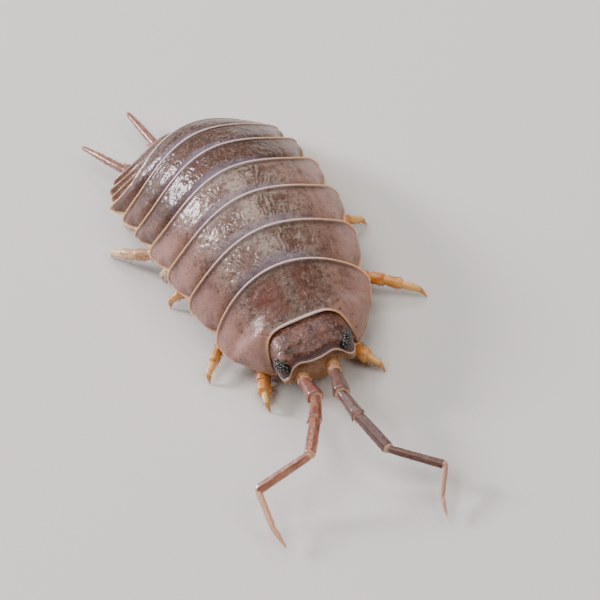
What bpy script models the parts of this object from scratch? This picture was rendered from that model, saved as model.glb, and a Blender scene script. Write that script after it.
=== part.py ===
"""Woodlouse, life size, standing on its fourteen legs: a still model in named body parts.

Head towards -Y, tail towards +Y, the animal's left at +X, the floor at z = 0.
Sizes are in millimetres until a mesh is made, which turns them into metres.
"""

import math

import bmesh
import bpy
import numpy as np

MM = 0.001
GAP = 0.3  # clear space that touching body parts keep
EYE_GAP = 0.12  # the same round an eye, which sits in its socket
MIDDLE_PLACE = (0.75, 4.00)  # the body's middle, seen from the middle of the whole footprint
EDGE_HEIGHT = 1.75  # the shell's side edge above the floor, at the body's middle

# The shell's rings, head end first, each at its hind edge. The columns are the place along
# the body from its middle, half the width, the dome's height over the side edges, how far
# the hind corners reach back, the power that keeps this reach to the corners, the slope
# (nose down is positive), the turn to the side and the twist that lifts the right side.
RING_TABLE = (
    ("head_notch", -7.50, 1.68, 2.02, -0.72, 4.0, 6.0, 10.0, 0.0),
    ("thorax_plate_1", -4.95, 3.20, 2.61, -0.30, 4.0, 10.7, 7.7, 0.0),
    ("thorax_plate_2", -3.25, 3.63, 2.75, 0.30, 4.0, 7.7, 5.0, 0.0),
    ("thorax_plate_3", -1.55, 3.78, 2.81, 0.60, 4.0, 4.1, 2.4, 0.0),
    ("thorax_plate_4", 0.00, 3.80, 2.77, 0.95, 4.0, 0.0, 0.0, 0.0),
    ("thorax_plate_5", 1.48, 3.74, 2.66, 1.05, 4.0, -4.6, -2.2, 0.0),
    ("thorax_plate_6", 2.86, 3.64, 2.50, 1.15, 3.6, -9.9, -4.2, 1.5),
    ("thorax_plate_7", 4.02, 3.50, 2.25, 1.42, 6.0, -15.5, -8.5, 6.0),
    ("abdomen_plate_1", 4.56, 2.50, 1.50, 0.60, 2.4, -13.0, -17.0, 7.0),
    ("abdomen_plate_2", 5.05, 2.40, 1.32, 0.70, 2.4, -10.0, -22.0, 7.5),
    ("abdomen_plate_3", 5.56, 2.68, 1.18, 1.45, 2.6, -7.0, -25.0, 8.0),
    ("abdomen_plate_4", 6.06, 2.34, 1.06, 1.45, 2.6, -5.0, -27.0, 8.0),
    ("abdomen_plate_5", 6.54, 1.86, 0.95, 1.20, 2.6, -4.0, -27.0, 8.0),
)
PLACE, HALF_WIDTH, HEIGHT, SWEEP, SWEEP_POWER, SLOPE, TURN, TWIST = range(1, 9)

DOME_POWER = 0.8  # a cosine to this power: a round crown with steep, slightly flared sides
SIDE_POINTS = 13  # points from the crown to one side edge
RIM_RISE = 0.06  # the thickened hind rim above the plate
FACET_DROP = 0.15  # the front of a plate, sunk under the rim before it
FLAP_START = 0.64  # where the side flap leaves the belly, as a share of the half width
BELLY_EDGE = 0.52  # where the flat belly ends
BELLY_LIFT = 0.12  # the belly over the side edges
FLAP_ROOT_LIFT = 0.30  # the flap's underside at its root, as a share of the dome's height
FLAP_THICK = 0.42
EDGE_THICK = 0.20
FIRST_PLATE_WIDTH = 3.26  # half the width that the first plate's lobes reach
FIRST_PLATE_SPREAD = 0.6  # how fast they reach it, behind the notch
FIRST_PLATE_ARCH = 4.0  # the power of the full arch round the head
FIRST_PLATE_OPENING = 0.5  # the share of its length over which that arch turns into the dome
TAIL_STEP = 0.15  # how much higher the front of an abdomen plate is than its hind edge
NOTCH_LENGTH = 0.15  # the share of the first plate's length over which the notch fades
FLAP_STEP = 0.16  # a flap's front corner, set in under the flap before it
FLAP_SPREAD = 0.05  # its hind corner, set out

HEAD_RINGS = (
    # forward of the notch, half width, top, bottom, forward reach of the sides
    (0.00, 1.42, 1.98, 0.45, 0.36),
    (0.35, 1.52, 2.03, 0.30, 0.36),
    (0.80, 1.54, 1.98, 0.25, 0.30),
    (1.15, 1.46, 1.86, 0.28, 0.25),
    (1.42, 1.30, 1.70, 0.40, 0.22),
    (1.56, 1.10, 1.50, 0.55, 0.15),
    (1.64, 0.85, 1.32, 0.70, 0.08),
    (1.68, 0.45, 1.15, 0.85, 0.00),
)
HEAD_ROUND = 2.5  # superellipse power of the head's cross-section
HEAD_SIDES = 40

EYE_SIZE = (0.26, 0.40, 0.32)  # half sizes: outward, along the head, up
EYE_PLACE = (1.28, 1.24, 1.40)  # out from the midline, forward of the notch, up

# The articles of a feeler, from the head: radius at the fullest place
FEELER_RADII = (0.30, 0.33, 0.28, 0.25, 0.20, 0.14, 0.11)
FEELER_JOINTS = {
    # where the joints are: the first is in front of the face, the last is the tip
    "right": (
        (-1.42, -9.52, 1.72),
        (-1.77, -9.82, 1.84),
        (-1.82, -10.96, 1.93),
        (-2.38, -12.06, 2.03),
        (-3.31, -13.54, 2.10),
        (-5.59, -13.01, 1.30),
        (-5.88, -14.64, 0.80),
        (-5.84, -15.51, 0.40),
    ),
    "left": (
        (-0.62, -9.70, 1.72),
        (-0.59, -10.17, 1.84),
        (-0.90, -11.42, 1.93),
        (-0.86, -12.72, 1.75),
        (-0.64, -14.54, 1.35),
        (0.82, -16.36, 0.95),
        (0.05, -17.40, 0.60),
        (-0.20, -18.20, 0.40),
    ),
}
TIP_RADIUS = 0.05

# The feet on the floor, first pair to seventh, as x and y from the body's middle
FEET = {
    "left": (
        (1.31, -9.72),
        (4.42, -7.29),
        (4.29, -2.10),
        (3.85, 0.70),
        (3.70, 3.00),
        (3.40, 4.90),
        (2.60, 6.70),
    ),
    "right": (
        (-3.30, -8.55),
        (-4.60, -5.55),
        (-4.14, -0.71),
        (-3.75, 0.90),
        (-4.91, 3.60),
        (-3.70, 4.70),
        (-3.10, 6.30),
    ),
}
LEG_ROOT = 0.45  # where a leg leaves the belly, as a share of the half width
LEG_SHARES = (0.0, 0.30, 0.47, 0.62, 0.79, 0.955)  # the joints' places along the plan line
LEG_HEIGHTS = (1.00, 0.76, 0.70, 0.64, 0.50, 0.26)  # their heights, as shares of the root's
LEG_RADII = (0.27, 0.25, 0.26, 0.25, 0.22, 0.16)
LEG_BOW = (0.15, 0.10, 0.12, 0.25, 0.75, 0.50, 0.35)  # the knees out of the straight line
FIRST_LEFT_BOW = -0.35  # the first left leg bends the other way, past the head's corner
LEG_STOOP = (0.80, 1.0, 1.0, 1.0, 1.0, 0.95, 0.80)  # lower knees under the low ends of the shell
CLAW_NECK = (0.12, 0.17)  # radius, and height over the floor
LOWEST_JOINT = 0.44  # the least height of the joint before the claw
LAST_JOINT_RADIUS = 0.15
FOOT_RADIUS = 0.10
FEELER_SIDES = 8
LEG_SIDES = 7
SHORT_ARTICLE = 2.2  # an article shorter than this many radii has one ring between its joints

UROPOD_JOINTS = {
    # root behind the last plate, end of the stout base, tip of the long outer branch
    "right": ((-2.26, 6.22, 0.95), (-2.52, 6.72, 1.08), (-3.37, 9.59, 0.75)),
    "left": ((-0.34, 6.92, 0.80), (-0.62, 7.42, 0.92), (-0.98, 10.20, 0.75)),
}
UROPOD_RADII = (0.30, 0.26, 0.07)
INNER_BRANCH_ROOT = (-0.10, -0.30, -0.12)  # from the base's end; x is towards the midline
INNER_BRANCH_REACH = (-0.11, 1.07, -0.22)
INNER_BRANCH_RADIUS = 0.16

TELSON_RINGS = (
    # behind the last plate, half width, top, bottom
    (0.00, 0.70, 0.84, 0.40),
    (0.30, 0.56, 0.78, 0.36),
    (0.60, 0.32, 0.66, 0.32),
    (0.92, 0.12, 0.52, 0.30),
)

GILL_PAIRS = 5
GILL_LENGTH = 0.95
GILL_WIDTH = 0.95
GILL_THICK = 0.26
GILL_LEVEL = -0.36  # the leaves' middle under the side edges
GILL_OUT = 0.44  # a leaf's middle from the midline
GILL_FIRST, GILL_LAST = 0.25, -0.55  # behind the last thorax plate, and before the last ring
GILL_RINGS = (
    # share of the length, share of the width, how far it has sunk
    (0.0, 0.75, 0.0),
    (0.45, 1.0, 0.06),
    (0.85, 0.8, 0.11),
    (1.0, 0.4, 0.13),
)

MOUTH_RINGS = (
    # up from the side edges' level, half width, forward of the notch, half length
    (-0.06, 0.72, 0.86, 0.46),
    (-0.28, 0.62, 0.92, 0.40),
    (-0.46, 0.42, 0.98, 0.28),
    (-0.58, 0.20, 1.02, 0.14),
)

COLOURS = {
    "shell": ((0.20, 0.15, 0.15, 1.0), 0.32),
    "head": ((0.13, 0.09, 0.08, 1.0), 0.40),
    "eye": ((0.01, 0.01, 0.012, 1.0), 0.15),
    "feeler": ((0.33, 0.22, 0.20, 1.0), 0.45),
    "leg": ((0.50, 0.37, 0.26, 1.0), 0.50),
    "belly": ((0.45, 0.38, 0.33, 1.0), 0.50),
}


def clear_scene():
    """Remove whatever the scene holds."""
    for item in list(bpy.data.objects):
        bpy.data.objects.remove(item, do_unlink=True)


def material(kind):
    """One Principled material, shared by the pieces of that kind."""
    made = bpy.data.materials.get(kind) or bpy.data.materials.new(kind)
    made.use_nodes = True
    colour, roughness = COLOURS[kind]
    shader = made.node_tree.nodes["Principled BSDF"]
    shader.inputs["Base Color"].default_value = colour
    shader.inputs["Roughness"].default_value = roughness
    shader.inputs["Metallic"].default_value = 0.0
    return made


def smooth_between(column, place):
    """A ring value at any place along the body, by a cubic through the rings."""
    places = [row[PLACE] for row in RING_TABLE]
    values = [row[column] for row in RING_TABLE]
    last = len(places) - 1
    slopes = []
    for i in range(last + 1):
        low, high = max(i - 1, 0), min(i + 1, last)
        slopes.append((values[high] - values[low]) / (places[high] - places[low]))
    if place <= places[0]:
        return values[0]
    if place >= places[-1]:
        return values[-1]
    i = max(k for k in range(last) if places[k] <= place)
    span = places[i + 1] - places[i]
    t = (place - places[i]) / span
    return (
        (2 * t**3 - 3 * t**2 + 1) * values[i]
        + (t**3 - 2 * t**2 + t) * span * slopes[i]
        + (3 * t**2 - 2 * t**3) * values[i + 1]
        + (t**3 - t**2) * span * slopes[i + 1]
    )


def directions(place):
    """The sideways, upward and tailward directions of the body at a place along it."""
    turn = math.radians(smooth_between(TURN, place))
    slope = math.radians(smooth_between(SLOPE, place))
    twist = math.radians(smooth_between(TWIST, place))
    side = np.array([math.cos(turn), -math.sin(turn), 0.0])
    back = np.array(
        [math.sin(turn) * math.cos(slope), math.cos(turn) * math.cos(slope), math.sin(slope)]
    )
    up = np.cross(side, back)
    side, up = (
        side * math.cos(twist) - up * math.sin(twist),
        up * math.cos(twist) + side * math.sin(twist),
    )
    return side, up, back


def body_axis(step=0.05):
    """Points on the line midway between the side edges, by their place along the body."""
    start = np.array([0.0, 0.0, EDGE_HEIGHT])
    table = {0: start}
    for sign in (-1, 1):
        point = start.copy()
        for i in range(1, int(10.0 / step)):
            middle = sign * (i - 0.5) * step
            point = point + sign * step * directions(middle)[2]
            table[sign * i] = point.copy()
    keys = sorted(table)
    return np.array(keys) * step, np.array([table[key] for key in keys])


AXIS_PLACES, AXIS_POINTS = body_axis()


def on_body(place, out, up, back=0.0):
    """A point in space from its place along the body, and how far out, up and back it is."""
    middle = np.array([np.interp(place, AXIS_PLACES, AXIS_POINTS[:, k]) for k in range(3)])
    side, upward, tailward = directions(place)
    return middle + side * out + upward * up + tailward * back


def dome(share):
    """The height of the shell's cross-section at a share of the half width, from 1 to 0."""
    return max(math.cos(0.5 * math.pi * min(abs(share), 1.0)), 0.0) ** DOME_POWER


def corner(share, power):
    """How much of the corner's backward sweep is felt at a share of the half width."""
    return abs(share) ** power


def side_shares():
    """Shares of the half width from one side edge to the other, closer together at the edges."""
    half = [math.sin(0.5 * math.pi * i / (SIDE_POINTS - 1)) for i in range(SIDE_POINTS)]
    return [-value for value in reversed(half)] + half[1:]


def under_height(share, width_top, height):
    """The underside's height: flat belly, a step up to the flap's root, then the thin flap."""
    share = abs(share)
    belly = BELLY_LIFT
    root = FLAP_ROOT_LIFT * height
    if share <= BELLY_EDGE:
        return belly
    if share <= FLAP_START:
        return belly + (root - belly) * (share - BELLY_EDGE) / (FLAP_START - BELLY_EDGE)
    outward = (share - FLAP_START) / (1.0 - FLAP_START)
    thick = FLAP_THICK + (EDGE_THICK - FLAP_THICK) * outward
    return min(root, width_top - thick)


def new_object(name, points, faces, kind, smooth=True):
    """A mesh object from points in millimetres, in the model's own frame."""
    shift = np.array([MIDDLE_PLACE[0], MIDDLE_PLACE[1], 0.0])
    mesh = bpy.data.meshes.new(name)
    mesh.from_pydata([tuple((np.asarray(p) + shift) * MM) for p in points], [], faces)
    tidy = bmesh.new()
    tidy.from_mesh(mesh)
    bmesh.ops.recalc_face_normals(tidy, faces=tidy.faces)
    tidy.to_mesh(mesh)
    tidy.free()
    mesh.materials.append(material(kind))
    made = bpy.data.objects.new(name, mesh)
    parts_collection().objects.link(made)
    if smooth:
        mesh.shade_smooth()
        mesh.set_sharp_from_angle(angle=math.radians(40))
    return made


def parts_collection():
    """The collection named for the animal."""
    found = bpy.data.collections.get("woodlouse")
    if found is None:
        found = bpy.data.collections.new("woodlouse")
        bpy.context.scene.collection.children.link(found)
    return found


def loft(name, rings, kind):
    """A closed solid through rings of equal length, each a closed loop, with flat ends."""
    count = len(rings[0])
    points = [point for ring in rings for point in ring]
    faces = []
    for i in range(len(rings) - 1):
        for j in range(count):
            after = (j + 1) % count
            a, b = i * count + j, i * count + after
            faces.append((a, b, b + count, a + count))
    faces.append(tuple(range(count)))
    faces.append(tuple((len(rings) - 1) * count + j for j in range(count)))
    return new_object(name, points, faces, kind)


def double_sheet(name, tops, undersides, kind):
    """A closed solid between an upper and a lower sheet of points, closed round the border."""
    rows, columns = len(tops), len(tops[0])
    points = [p for row in tops for p in row] + [p for row in undersides for p in row]
    lower = rows * columns
    faces = []
    for i in range(rows - 1):
        for j in range(columns - 1):
            a = i * columns + j
            quad = (a, a + 1, a + columns + 1, a + columns)
            faces.append(quad)
            faces.append(tuple(lower + k for k in reversed(quad)))
    for i in range(rows - 1):
        for j in (0, columns - 1):
            a = i * columns + j
            faces.append((a, a + columns, lower + a + columns, lower + a))
    for j in range(columns - 1):
        for i in (0, rows - 1):
            a = i * columns + j
            faces.append((a, a + 1, lower + a + 1, lower + a))
    return new_object(name, points, faces, kind)


def plate_sections(index):
    """The sections of one ring: place, half width, height, sweep, its power, rise, opening."""
    front, rear = RING_TABLE[index - 1], RING_TABLE[index]
    start = front[PLACE] + 0.5 * GAP * (index > 1)
    end = rear[PLACE] - 0.5 * GAP
    length = end - start
    first_thorax = index == 1
    abdomen = index > 7
    if first_thorax:
        steps = (0.0, 0.07, 0.16, 0.30, 0.50, 0.75, 0.92, 1.0)
    elif abdomen:
        steps = (0.0, 0.30, 1.0)
    else:
        steps = (0.0, 0.15, 0.50, 0.91, 1.0)
    sections = []
    for v in steps:
        place = start + v * length
        width = smooth_between(HALF_WIDTH, place)
        height = smooth_between(HEIGHT, place)
        sweep = smooth_between(SWEEP, place)
        rise = RIM_RISE * (v > 0.9) - FACET_DROP * max(0.0, 1.0 - v / 0.3) * (index > 1)
        if first_thorax:
            spread = math.sin(0.5 * math.pi * v**FIRST_PLATE_SPREAD)
            width = front[HALF_WIDTH] + (FIRST_PLATE_WIDTH - front[HALF_WIDTH]) * spread
            sweep = front[SWEEP] * math.exp(-v / NOTCH_LENGTH) + rear[SWEEP] * v
        elif abdomen:
            width = rear[HALF_WIDTH]
            height = rear[HEIGHT] + TAIL_STEP * (1.0 - v)
            sweep = rear[SWEEP] * (0.45 + 0.55 * v)
        else:
            width = width - FLAP_STEP * (1.0 - v) ** 3 + FLAP_SPREAD * v
        power = rear[SWEEP_POWER] if abdomen else smooth_between(SWEEP_POWER, place)
        opening = min(1.0, v / FIRST_PLATE_OPENING) if first_thorax else 1.0
        opening = opening * opening * (3.0 - 2.0 * opening)
        sections.append((place, width, height, sweep, power, rise, opening))
    return sections


def shell_plate(index):
    """One ring of the body: the shell plate with its side flaps, and the belly under it."""
    tops, undersides = [], []
    for place, width, height, sweep, power, rise, opening in plate_sections(index):
        upper, lower = [], []
        for share in side_shares():
            full = (1.0 - share**FIRST_PLATE_ARCH) ** (1.0 / FIRST_PLATE_ARCH)
            up = height * (full + (dome(share) - full) * opening)
            back = sweep * corner(share, power)
            lift = rise * min(1.0, 0.35 + up)
            upper.append(on_body(place, width * share, up + lift, back))
            lower.append(on_body(place, width * share, under_height(share, up, height), back))
        tops.append(upper)
        undersides.append(lower)
    return double_sheet(RING_TABLE[index][0], tops, undersides, "shell")


def head_ring(forward, half_width, top, bottom, reach):
    """One cross-section of the head, a rounded box, with its sides reaching forward."""
    middle, half = 0.5 * (top + bottom), 0.5 * (top - bottom)
    place = RING_TABLE[0][PLACE] - GAP
    ring = []
    for i in range(HEAD_SIDES):
        angle = 2 * math.pi * i / HEAD_SIDES
        c, s = math.cos(angle), math.sin(angle)
        out = math.copysign(abs(c) ** (2 / HEAD_ROUND), c)
        up = math.copysign(abs(s) ** (2 / HEAD_ROUND), s)
        back = -forward - reach * abs(out) ** 4
        ring.append(on_body(place, half_width * out, middle + half * up, back))
    return ring


def eye_ball(name, side, extra, kind):
    """An eye as a flattened ball, or the socket that is cut for it when extra is set."""
    out, forward, up = EYE_PLACE
    place = RING_TABLE[0][PLACE] - GAP
    centre = on_body(place, side * out, up, -forward)
    axes = directions(place)
    sizes = [value + extra for value in EYE_SIZE]
    ball = bmesh.new()
    bmesh.ops.create_uvsphere(ball, u_segments=14, v_segments=8, radius=1.0)
    points, faces = [], []
    for vertex in ball.verts:
        x, y, z = vertex.co
        offset = axes[0] * x * sizes[0] + axes[2] * y * sizes[1] + axes[1] * z * sizes[2]
        points.append(centre + offset)
    for face in ball.faces:
        faces.append(tuple(v.index for v in face.verts))
    ball.free()
    return new_object(name, points, faces, kind)


def apply_boolean(target, operation, others, solver="EXACT"):
    """Join the others to the target or cut them out of it, and keep the largest surface."""
    group = bpy.data.collections.new("cutters")
    bpy.context.scene.collection.children.link(group)
    for other in others:
        for owner in list(other.users_collection):
            owner.objects.unlink(other)
        group.objects.link(other)
    modifier = target.modifiers.new(operation.title(), "BOOLEAN")
    modifier.operation = operation
    modifier.operand_type = "COLLECTION"
    modifier.collection = group
    modifier.solver = solver
    bpy.context.view_layer.update()
    evaluated = target.evaluated_get(bpy.context.evaluated_depsgraph_get())
    result = bpy.data.meshes.new_from_object(evaluated)
    target.modifiers.remove(modifier)
    target.data = result
    for other in others:
        bpy.data.objects.remove(other, do_unlink=True)
    bpy.data.collections.remove(group)
    keep_largest(result)


def keep_largest(mesh):
    """Drop every closed surface of a mesh but the largest."""
    work = bmesh.new()
    work.from_mesh(mesh)
    bmesh.ops.remove_doubles(work, verts=work.verts, dist=1e-7)
    work.verts.ensure_lookup_table()
    unseen = set(work.verts)
    groups = []
    while unseen:
        stack = [unseen.pop()]
        group = []
        while stack:
            vertex = stack.pop()
            group.append(vertex)
            for edge in vertex.link_edges:
                other = edge.other_vert(vertex)
                if other in unseen:
                    unseen.remove(other)
                    stack.append(other)
        groups.append(group)
    groups.sort(key=extent, reverse=True)
    for group in groups[1:]:
        bmesh.ops.delete(work, geom=group, context="VERTS")
    work.to_mesh(mesh)
    work.free()


def extent(vertices):
    """The length of the diagonal of the box round some vertices."""
    points = np.array([tuple(v.co) for v in vertices])
    return float(np.linalg.norm(points.max(axis=0) - points.min(axis=0)))


def head():
    """The head, with a socket cut for each eye."""
    made = loft("head", [head_ring(*row) for row in HEAD_RINGS], "head")
    sockets = [eye_ball(f"socket_{i}", side, EYE_GAP, "eye") for i, side in enumerate((-1, 1))]
    apply_boolean(made, "DIFFERENCE", sockets)


def ring_round(centre, radius, first, second, sides):
    """A circle of points round a centre, in the plane of two directions."""
    turns = [2 * math.pi * i / sides for i in range(sides)]
    return [centre + radius * (math.cos(a) * first + math.sin(a) * second) for a in turns]


def limb_rings(joints, radii, sides=FEELER_SIDES, end_radius=TIP_RADIUS, narrow=0.80):
    """Rings round a limb: each article is waisted at its joints and fullest beyond its middle."""
    joints = [np.asarray(joint, float) for joint in joints]
    ways = [b - a for a, b in zip(joints, joints[1:])]
    ways = [way / np.linalg.norm(way) for way in ways]
    centres, normals, sizes = [joints[0]], [ways[0]], [radii[0] * narrow]
    for i, radius in enumerate(radii):
        short = np.linalg.norm(joints[i + 1] - joints[i]) < SHORT_ARTICLE * radius
        for share, fullness in ((0.5, 1.0),) if short else ((0.28, 0.95), (0.78, 1.04)):
            if i == len(radii) - 1:
                fullness = 0.95 - 0.35 * share
            centres.append(joints[i] + share * (joints[i + 1] - joints[i]))
            normals.append(ways[i])
            sizes.append(radius * fullness)
        if i < len(radii) - 1:
            centres.append(joints[i + 1])
            bisector = ways[i] + ways[i + 1]
            normals.append(bisector / np.linalg.norm(bisector))
            sizes.append(narrow * min(radius, radii[i + 1]))
    centres.append(joints[-1])
    normals.append(ways[-1])
    sizes.append(end_radius)
    across = np.cross(normals[0], (0.0, 0.0, 1.0))
    if np.linalg.norm(across) < 0.1:
        across = np.array([1.0, 0.0, 0.0])
    rings = []
    for centre, normal, size in zip(centres, normals, sizes):
        across = across - normal * np.dot(across, normal)
        across = across / np.linalg.norm(across)
        rings.append(ring_round(centre, size, across, np.cross(normal, across), sides))
    return rings


def feeler(side):
    """One antenna: five stout articles and a tapered lash of two."""
    rings = limb_rings(FEELER_JOINTS[side], FEELER_RADII)
    loft(f"antenna_{side}", rings, "feeler")


def leg_joints(side, pair):
    """The joints of one leg, from its root under the belly to the neck of its claw."""
    sign = 1 if side == "left" else -1
    row, row_before = RING_TABLE[pair], RING_TABLE[pair - 1]
    share_along = 0.62 if pair == 1 else 0.5
    place = row_before[PLACE] + share_along * (row[PLACE] - row_before[PLACE])
    root = on_body(place, sign * LEG_ROOT * row[HALF_WIDTH], BELLY_LIFT - GAP)
    foot = np.array([*FEET[side][pair - 1], CLAW_NECK[1]])
    line = foot - root
    along = np.array([-line[1], line[0], 0.0])
    along = along / np.linalg.norm(along) * sign * (1 if pair <= 3 else -1)
    joints = []
    for share, height in zip(LEG_SHARES, LEG_HEIGHTS):
        point = root + share * line
        bow = FIRST_LEFT_BOW if (side, pair) == ("left", 1) else LEG_BOW[pair - 1]
        point = point + along * bow * math.sin(math.pi * share)
        stoop = 1.0 if share == 0.0 else LEG_STOOP[pair - 1]
        point[2] = max(root[2] * height * stoop, LOWEST_JOINT)
        joints.append(point)
    joints.append(foot)
    return joints


def leg(side, pair):
    """One walking leg, which ends in a small flat on the floor."""
    rings = limb_rings(leg_joints(side, pair)[:-1], LEG_RADII[:-1], sides=LEG_SIDES)
    foot = np.array([*FEET[side][pair - 1], 0.0])
    last_joint = sum(rings[-1]) / LEG_SIDES
    rings[-1] = [last_joint + (p - last_joint) * LAST_JOINT_RADIUS / TIP_RADIUS for p in rings[-1]]
    first = rings[-1][0] - last_joint
    first[2] = 0.0
    first = first / np.linalg.norm(first)
    down = np.array([0.0, 0.0, -1.0])
    across = np.cross(down, first)
    neck = ring_round(foot - CLAW_NECK[1] * down, CLAW_NECK[0], first, across, LEG_SIDES)
    flat = ring_round(foot, FOOT_RADIUS, first, across, LEG_SIDES)
    loft(f"leg_{side}_{pair}", rings + [neck, flat], "leg")


def telson():
    """The pointed last plate of the tail."""
    place = RING_TABLE[-1][PLACE] + 0.5 * GAP
    rings = []
    for back, half_width, top, bottom in TELSON_RINGS:
        middle, half = 0.5 * (top + bottom), 0.5 * (top - bottom)
        turns = [2 * math.pi * i / 16 for i in range(16)]
        rings.append(
            [
                on_body(place, half_width * math.cos(a), middle + half * math.sin(a), back)
                for a in turns
            ]
        )
    loft("telson", rings, "shell")


def uropod(side):
    """One tail limb: a stout base, the long outer branch and the short inner one."""
    root, base_end, tip = (np.array(joint) for joint in UROPOD_JOINTS[side])
    rings = limb_rings((root, base_end, tip), UROPOD_RADII[:2], end_radius=UROPOD_RADII[2])
    made = loft(f"uropod_{side}", rings, "feeler")
    sign = 1 if side == "left" else -1
    mirror = np.array([sign, 1.0, 1.0])
    inner_start = base_end + mirror * INNER_BRANCH_ROOT
    inner_end = inner_start + mirror * INNER_BRANCH_REACH
    rings = limb_rings((inner_start, inner_end), (INNER_BRANCH_RADIUS,), sides=6)
    inner = loft("inner_branch", rings, "feeler")
    apply_boolean(made, "UNION", [inner])


def gill_leaf(name, place, side):
    """One leaf of a gill pair, a flat pad that slopes down towards the tail."""
    rings = []
    for share, width, drop in GILL_RINGS:
        ring = []
        for i in range(10):
            angle = 2 * math.pi * i / 10
            out = side * (GILL_OUT + 0.5 * GILL_WIDTH * width * math.cos(angle))
            up = GILL_LEVEL - drop + 0.5 * GILL_THICK * math.sin(angle)
            ring.append(on_body(place, out, up, share * GILL_LENGTH))
        rings.append(ring)
    return loft(name, rings, "belly")


def gill_plates():
    """The gill leaves under the tail: five overlapping pairs joined along the midline."""
    first, last = RING_TABLE[7][PLACE] + GILL_FIRST, RING_TABLE[-1][PLACE] + GILL_LAST
    leaves = []
    for pair in range(GILL_PAIRS):
        place = first + (last - first) * pair / (GILL_PAIRS - 1)
        for side in (-1, 1):
            leaves.append(gill_leaf(f"gill_{pair}_{side}", place, side))
    made = leaves.pop(0)
    made.name = "gill_plates"
    apply_boolean(made, "UNION", leaves)


def mouthparts():
    """The jaws and their palps in one cone under the head."""
    place = RING_TABLE[0][PLACE] - GAP
    rings = []
    for up, half_width, forward, half_length in MOUTH_RINGS:
        turns = [2 * math.pi * i / 14 for i in range(14)]
        rings.append(
            [
                on_body(
                    place, half_width * math.cos(a), up, -forward + half_length * math.sin(a)
                )
                for a in turns
            ]
        )
    loft("mouthparts", rings, "belly")


def woodlouse():
    """Build every body part."""
    clear_scene()
    head()
    for name, side in (("eye_left", 1), ("eye_right", -1)):
        eye_ball(name, side, 0.0, "eye")
    mouthparts()
    for index in range(1, len(RING_TABLE)):
        shell_plate(index)
    telson()
    gill_plates()
    for side in ("left", "right"):
        feeler(side)
        uropod(side)
        for pair in range(1, 8):
            leg(side, pair)


woodlouse()
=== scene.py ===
"""The woodlouse, life size: its visible surfaces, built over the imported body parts.

Head towards -Y, tail towards +Y, the animal's left at +X, the floor at z = 0. Sizes are in
millimetres until a mesh is made, which turns them into metres.
"""

import logging
import math
from collections.abc import Sequence
from dataclasses import dataclass, field
from enum import Enum

import bmesh
import bpy
import numpy as np
from bpy.types import ID, Material, Node, NodeSocket, NodeTree, Object
from mathutils import Matrix, Vector


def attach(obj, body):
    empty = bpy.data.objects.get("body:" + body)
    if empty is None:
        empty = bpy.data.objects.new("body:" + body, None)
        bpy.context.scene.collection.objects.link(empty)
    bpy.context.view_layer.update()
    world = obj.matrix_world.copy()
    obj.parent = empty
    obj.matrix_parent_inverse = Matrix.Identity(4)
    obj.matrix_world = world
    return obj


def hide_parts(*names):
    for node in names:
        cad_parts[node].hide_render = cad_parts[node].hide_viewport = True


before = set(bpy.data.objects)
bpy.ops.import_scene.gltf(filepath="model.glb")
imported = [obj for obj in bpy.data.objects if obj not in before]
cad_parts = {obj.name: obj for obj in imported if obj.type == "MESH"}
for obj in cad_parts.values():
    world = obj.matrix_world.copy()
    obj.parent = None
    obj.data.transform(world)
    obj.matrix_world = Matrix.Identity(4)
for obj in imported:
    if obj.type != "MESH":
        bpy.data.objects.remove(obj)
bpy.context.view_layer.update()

LOG = logging.getLogger("woodlouse")
MM = 0.001
MIDDLE_PLACE = (0.75, 4.00)
EDGE_HEIGHT = 1.75
HEAD_OFFSET = 0.12
SIDES = ("left", "right")
THORAX_PLATES = 7
Array = np.ndarray
Triple = tuple[float, float, float]
Quad = tuple[float, float, float, float]
Colour = Triple
Series = tuple[float, ...]
Curve = tuple[tuple[float, float], ...]


class Slot(Enum):
    """The record's material slots."""

    SHELL = "shell"
    HEAD = "head_shell"
    EYES = "eyes"
    FEELERS = "feelers"
    LEGS = "legs"
    UNDERSIDE = "underside"


def ease(low: float, high: float, values: Array) -> Array:
    """A smooth step from 0 at low to 1 at high.

    Args:
        low: where the step starts.
        high: where it ends.
        values: the numbers to step.

    Returns:
        The stepped numbers, from 0 to 1.
    """
    t = np.clip((np.asarray(values, float) - low) / (high - low), 0.0, 1.0)
    return t * t * (3.0 - 2.0 * t)


def bump(centre: float, width: float, values: Array) -> Array:
    """A bell of height 1 round a centre, whose width is its standard deviation."""
    return np.exp(-0.5 * ((np.asarray(values, float) - centre) / width) ** 2)


def circle(count: int) -> Array:
    """Angles evenly spaced round a circle."""
    return np.linspace(0, 2 * math.pi, count, endpoint=False)


def unit(vector: Array) -> Array:
    """A vector's direction, as a vector of length 1."""
    return vector / np.linalg.norm(vector)


def through(knots: Array, values: Array, places: Array) -> Array:
    """A smooth curve through knots, read at places.

    Args:
        knots: the knots' places, rising.
        values: the values there.
        places: where to read the curve.

    Returns:
        The curve's values.
    """
    knots, values = np.asarray(knots, float), np.asarray(values, float)
    last = len(knots) - 1
    low = np.maximum(np.arange(last + 1) - 1, 0)
    high = np.minimum(np.arange(last + 1) + 1, last)
    slopes = (values[high] - values[low]) / (knots[high] - knots[low])
    places = np.clip(np.asarray(places, float), knots[0], knots[-1])
    i = np.clip(np.searchsorted(knots, places, side="right") - 1, 0, last - 1)
    span = knots[i + 1] - knots[i]
    t = (places - knots[i]) / span
    return (
        (2 * t**3 - 3 * t**2 + 1) * values[i]
        + (t**3 - 2 * t**2 + t) * span * slopes[i]
        + (3 * t**2 - 2 * t**3) * values[i + 1]
        + (t**3 - t**2) * span * slopes[i + 1]
    )


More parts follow.
